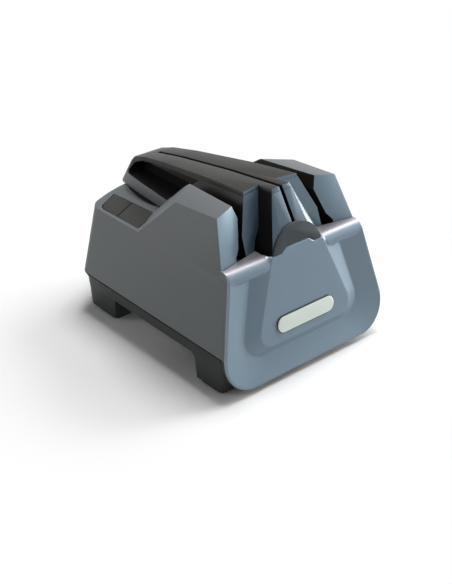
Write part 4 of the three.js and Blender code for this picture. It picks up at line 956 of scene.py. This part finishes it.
SIDES = ("left", "right")
CORNERS = [f"{end}_{side}" for end in ("front", "rear") for side in SIDES]
SCREWS = {
    # kind: its places, its turn, head radius, axis and end of a node's box where the head is
    "base_screw": (CORNERS, (math.pi, 0.0, 0.0), 2.8 * MM, 2, 0),
    "cover_screw": (SIDES, (-math.pi / 2, 0.0, 0.0), 2.2 * MM, 1, 1),
    "frame_screw": (SIDES, (0.0, 0.0, 0.0), 2.8 * MM, 2, 1),
}
SCREW_HEAD = 2 * MM
SCREW_SHANK = 1.5 * MM
CROSS_REACH = 1.2  # length of the cross as a share of the head's radius


class SHARPENER_OT_screws(bpy.types.Operator):
    """Build every screw, with a cross recess in its head"""

    bl_idname = "sharpener.screws"
    bl_label = "Screws"

    def execute(self, context):
        tree = screw_tree()
        for kind, (places, turn, radius, axis, end) in SCREWS.items():
            nodes = [f"{kind}_{place}" for place in places]
            work = bmesh.new()
            for node in nodes:
                low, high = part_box(node)
                spot = (low + high) / 2
                spot[axis] = (low, high)[end][axis]
                work.verts.new(spot)
            shank = max(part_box(nodes[0])[1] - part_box(nodes[0])[0]) - SCREW_HEAD
            screws = as_object(work, f"{kind}s", "blackened steel")
            run_tree(screws, tree, {
                "Turn": turn, "Head Radius": radius, "Head Height": SCREW_HEAD,
                "Shank Radius": SCREW_SHANK, "Shank Length": shank,
                "Recess": context.scene.sharpener_sizes.drive_slot,
                "Material": finishes()["blackened steel"]})
            take_over(screws, *nodes)
        return {"FINISHED"}


def screw_tree():
    """A pan head with a cross recess and a shank, on every vertex, the head's top at the vertex."""
    tree, start, end = geometry_tree("Cross Screw", "Turn", "Head Radius", "Head Height",
                                     "Shank Radius", "Shank Length", "Recess")

    def cylinder(radius, depth, middle, vertices):
        mesh = add_node(tree, "GeometryNodeMeshCylinder", {
            "Vertices": vertices, "Radius": radius, "Depth": depth})["Mesh"]
        return add_node(tree, "GeometryNodeTransform", {
            "Geometry": mesh, "Translation": vector(tree, Z=middle)})[0]

    height, recess, run = start["Head Height"], start["Recess"], start["Shank Length"]
    head = cylinder(start["Head Radius"], height, calc(tree, "MULTIPLY", height, -0.5), vertices=32)
    middle = calc(tree, "SUBTRACT", calc(tree, "MULTIPLY", run, -0.5), height)
    shank = cylinder(start["Shank Radius"], run, middle, vertices=20)
    reach = calc(tree, "MULTIPLY", start["Head Radius"], CROSS_REACH)
    cross = (vector(tree, X=reach, Y=recess, Z=height), vector(tree, X=recess, Y=reach, Z=height))
    cutters = [add_node(tree, "GeometryNodeMeshCube", {"Size": size})["Mesh"] for size in cross]
    cut = add_node(tree, "GeometryNodeMeshBoolean", {0: head, 1: cutters}, operation="DIFFERENCE")
    screw = add_node(tree, "GeometryNodeJoinGeometry", {0: [cut["Mesh"], shank]})[0]
    return close_tree(tree, start, end, add_node(tree, "GeometryNodeInstanceOnPoints", {
        "Points": start["Geometry"], "Instance": screw, "Rotation": start["Turn"]})[0])


def tread_tree():
    """Ribs across each foot pad's underside, one row of them on every vertex."""
    tree, start, end = geometry_tree("Pad Tread", "Rib Length", "Rib Width", "Rib Height", "Pitch",
                                     "Ribs")
    rib = add_node(tree, "GeometryNodeMeshCube", {"Size": vector(
        tree, X=start["Rib Length"], Y=start["Rib Width"], Z=start["Rib Height"])})["Mesh"]
    first = calc(tree, "MULTIPLY", calc(tree, "SUBTRACT", start["Ribs"], 1.0), -0.5)
    line = add_node(tree, "GeometryNodeMeshLine", {
        "Count": start["Ribs"], "Offset": vector(tree, Y=start["Pitch"]),
        "Start Location": vector(tree, Y=calc(tree, "MULTIPLY", first, start["Pitch"]),
                                 Z=calc(tree, "MULTIPLY", start["Rib Height"], 0.5))})[0]
    row = add_node(tree, "GeometryNodeInstanceOnPoints", {"Points": line, "Instance": rib})[0]
    return close_tree(tree, start, end, add_node(tree, "GeometryNodeInstanceOnPoints", {
        "Points": start["Geometry"], "Instance": row})[0])


TREAD_HEIGHT = 0.6 * MM
RIB_COUNT = 8
RIB_WIDTH = 1.1 * MM
RIB_INSET = 4 * MM  # how much shorter a rib is than its pad is wide
RIB_OVERLAP = 1.05  # share of the tread's height that a rib fills, so that it meets the pad


class SHARPENER_OT_pads(bpy.types.Operator):
    """Build the rubber foot pads with ribs under them"""

    bl_idname = "sharpener.pads"
    bl_label = "Foot Pads"

    def execute(self, context):
        nodes = [f"foot_pad_{corner}" for corner in CORNERS]
        work = merged(*nodes)
        for vert in work.verts:
            vert.co.z = max(vert.co.z, TREAD_HEIGHT)
        pads = as_object(work, "foot_pads", "pad rubber")
        spots = bmesh.new()
        for node in nodes:
            low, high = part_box(node)
            spots.verts.new(((low.x + high.x) / 2, (low.y + high.y) / 2, low.z))
        ribs = as_object(spots, "ribs", "pad rubber")
        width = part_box(nodes[0])[1].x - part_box(nodes[0])[0].x
        run_tree(ribs, tread_tree(), {
            "Rib Length": width - RIB_INSET, "Rib Width": RIB_WIDTH,
            "Rib Height": TREAD_HEIGHT * RIB_OVERLAP, "Ribs": RIB_COUNT,
            "Pitch": context.scene.sharpener_sizes.tread_pitch, "Material": finishes()["pad rubber"]})
        join_into(pads, ribs)
        take_over(pads, *nodes)
        return {"FINISHED"}


WORKS = {
    # finish: the CAD nodes that keep their own shape and get it
    "turned steel": ("idler_axle_left", "idler_axle_right", "rocker_pivot_pin", "drive_shaft",
                     "drive_bearing", "tension_axle", "tension_pivot_pin", "tension_spring",
                     "motor_can", "motor_shaft", "inlet_pin"),
    "blackened steel": ("tension_arm", "belt_frame", "motor_armature", "motor_strap"),
    "inner polymer": ("idler_pulley_left", "idler_pulley_right", "rocker_key_front",
                      "rocker_key_rear", "drive_pulley", "driven_pulley", "motor_pulley",
                      "tension_pulley", "motor_end_cap", "cooling_fan", "motor_cradle",
                      "power_inlet"),
    "ceramic rod": ("honing_rod_front", "honing_rod_rear"),
    "board lacquer": ("control_board",),
    "pad rubber": ("transfer_belt",),
    "abrasive grain": ("abrasive_belt",),
}


class SHARPENER_OT_works(bpy.types.Operator):
    """Give the belt train, the motor and the other inner pieces their finishes"""

    bl_idname = "sharpener.works"
    bl_label = "Belt Train and Motor"

    def execute(self, context):
        for look, nodes in WORKS.items():
            for node in nodes:
                materials = frame["nodes"][node].data.materials
                materials.clear()
                materials.append(finishes()[look])
        return {"FINISHED"}


FLOOR_REACH = 6.0
FLOOR_FADE = (85 * MM, 200 * MM)  # where the shadow begins to fade and where it is gone
WHITE = (1.0, 1.0, 1.0, 1.0)
LIGHTS = {
    # light: its place, its diameter and its power in watts
    "key": ((1.2, -0.05, 0.85), 1.0, 15.0),
    "side": ((1.3, -0.42, 0.2), 0.35, 13.5),
    "fill": ((-0.85, 0.5, 0.32), 0.35, 1.7),
    "top": ((0.3, 0.15, 1.2), 0.6, 10.0),
}
LIGHT_AIM = Vector((0.0, 0.0, 0.05))
ROOM_LIGHT = 0.12
CAMERA_PLACE = Vector((-408.66, -481.65, 382.91)) * MM
CAMERA_AIM = Vector((0.5624, 0.6555, -0.5041))
CAMERA_LENS = 69.0


class SHARPENER_OT_stage(bpy.types.Operator):
    """Build the floor, the lights and the camera"""

    bl_idname = "sharpener.stage"
    bl_label = "Stage"

    def execute(self, context):
        scene = context.scene
        work = bmesh.new()
        bmesh.ops.create_grid(work, x_segments=1, y_segments=1, size=FLOOR_REACH)
        floor_paint("floor white", scene.sharpener_colours.floor)
        floor = as_object(work, "floor", "floor white")
        for name, (place, size, power) in LIGHTS.items():
            lamp = bpy.data.lights.new(name, "AREA")
            lamp.shape = "DISK"
            lamp.size = size
            lamp.energy = power
            set_up(name, lamp, Vector(place), LIGHT_AIM - Vector(place))
        scene.world = pale_world()
        scene.view_settings.view_transform = "Standard"
        camera = bpy.data.cameras.new("camera")
        camera.lens = CAMERA_LENS
        scene.camera = set_up("camera", camera, CAMERA_PLACE, CAMERA_AIM)
        return {"FINISHED"}


def set_up(name, data, place, direction):
    """A light or camera at a place, facing a direction."""
    thing = bpy.data.objects.new(name, data)
    bpy.context.scene.collection.objects.link(thing)
    thing.location = place
    thing.rotation_euler = direction.to_track_quat("-Z", "Y").to_euler()
    return thing


def floor_paint(name, colour):
    """White paper that keeps the shadow near the sharpener and is plain white far from it."""
    tree, shader = new_material(name)
    grained = effect(tree, "Moulded Grain", {
        "Colour": linear(colour), "Grain Scale": 40.0, "Tone Swing": 0.01})
    feed(tree, shader, {
        "Base Color": grained["Colour"], "Roughness": 0.9, "Specular IOR Level": 0.0})
    reach = add_node(tree, "ShaderNodeVectorMath", {0: object_place(tree)}, operation="LENGTH")["Value"]
    away = add_node(tree, "ShaderNodeMapRange", {
        "From Min": FLOOR_FADE[0], "From Max": FLOOR_FADE[1], "Value": reach},
        interpolation_type="SMOOTHSTEP")["Result"]
    white = add_node(tree, "ShaderNodeEmission", {})[0]
    show_white(tree, "Material Output", shader, white, calc(tree, "MULTIPLY", seen_rays(tree), away))


def seen_rays(tree):
    """1 for what the camera sees, also by way of a reflection or through glass."""
    path = add_node(tree, "ShaderNodeLightPath", {})
    bounced = calc(tree, "MAXIMUM", path["Is Glossy Ray"], path["Is Transmission Ray"])
    return calc(tree, "MAXIMUM", path["Is Camera Ray"], bounced)


def show_white(tree, output, usual, white, share):
    """The surface turns from the usual shader to white by the share."""
    feed(tree, tree.nodes[output], {"Surface": add_node(tree, "ShaderNodeMixShader", {
        0: share, 1: usual.outputs[0], 2: white})[0]})


def pale_world():
    """White for the camera and in reflections, softer as a light."""
    world = bpy.data.worlds.new("pale room")
    world.use_nodes = True
    tree = world.node_tree
    soft = tree.nodes["Background"]
    feed(tree, soft, {"Strength": ROOM_LIGHT, "Color": WHITE})
    white = add_node(tree, "ShaderNodeBackground", {"Color": WHITE})[0]
    show_white(tree, "World Output", soft, white, seen_rays(tree))
    return world


OPERATORS = (
    SHARPENER_OT_housing, SHARPENER_OT_guide, SHARPENER_OT_cover, SHARPENER_OT_badge,
    SHARPENER_OT_rocker, SHARPENER_OT_screws, SHARPENER_OT_pads, SHARPENER_OT_works,
    SHARPENER_OT_stage,
)


class SHARPENER_PT_panel(bpy.types.Panel):
    """Sizes, colours and build steps of the sharpener"""

    bl_label = "Sharpener"
    bl_idname = "SHARPENER_PT_panel"
    bl_space_type = "VIEW_3D"
    bl_region_type = "UI"
    bl_category = "Sharpener"

    def draw(self, context):
        layout = self.layout
        for group in (context.scene.sharpener_sizes, context.scene.sharpener_colours):
            box = layout.box()
            for name in group.__annotations__:
                box.prop(group, name)
        for operator in OPERATORS:
            layout.operator(operator.bl_idname)


CLASSES = (SharpenerSizes, SharpenerColours, *OPERATORS, SHARPENER_PT_panel)


def register():
    for item in CLASSES:
        bpy.utils.register_class(item)
    bpy.types.Scene.sharpener_sizes = bpy.props.PointerProperty(type=SharpenerSizes)
    bpy.types.Scene.sharpener_colours = bpy.props.PointerProperty(type=SharpenerColours)


def unregister():
    del bpy.types.Scene.sharpener_colours
    del bpy.types.Scene.sharpener_sizes
    for item in reversed(CLASSES):
        bpy.utils.unregister_class(item)


def main():
    register()
    bpy.ops.sharpener.housing()
    bpy.ops.sharpener.guide()
    bpy.ops.sharpener.cover()
    bpy.ops.sharpener.badge()
    bpy.ops.sharpener.rocker()
    bpy.ops.sharpener.screws()
    bpy.ops.sharpener.pads()
    bpy.ops.sharpener.works()
    bpy.ops.sharpener.stage()


if __name__ == "__main__":
    main()
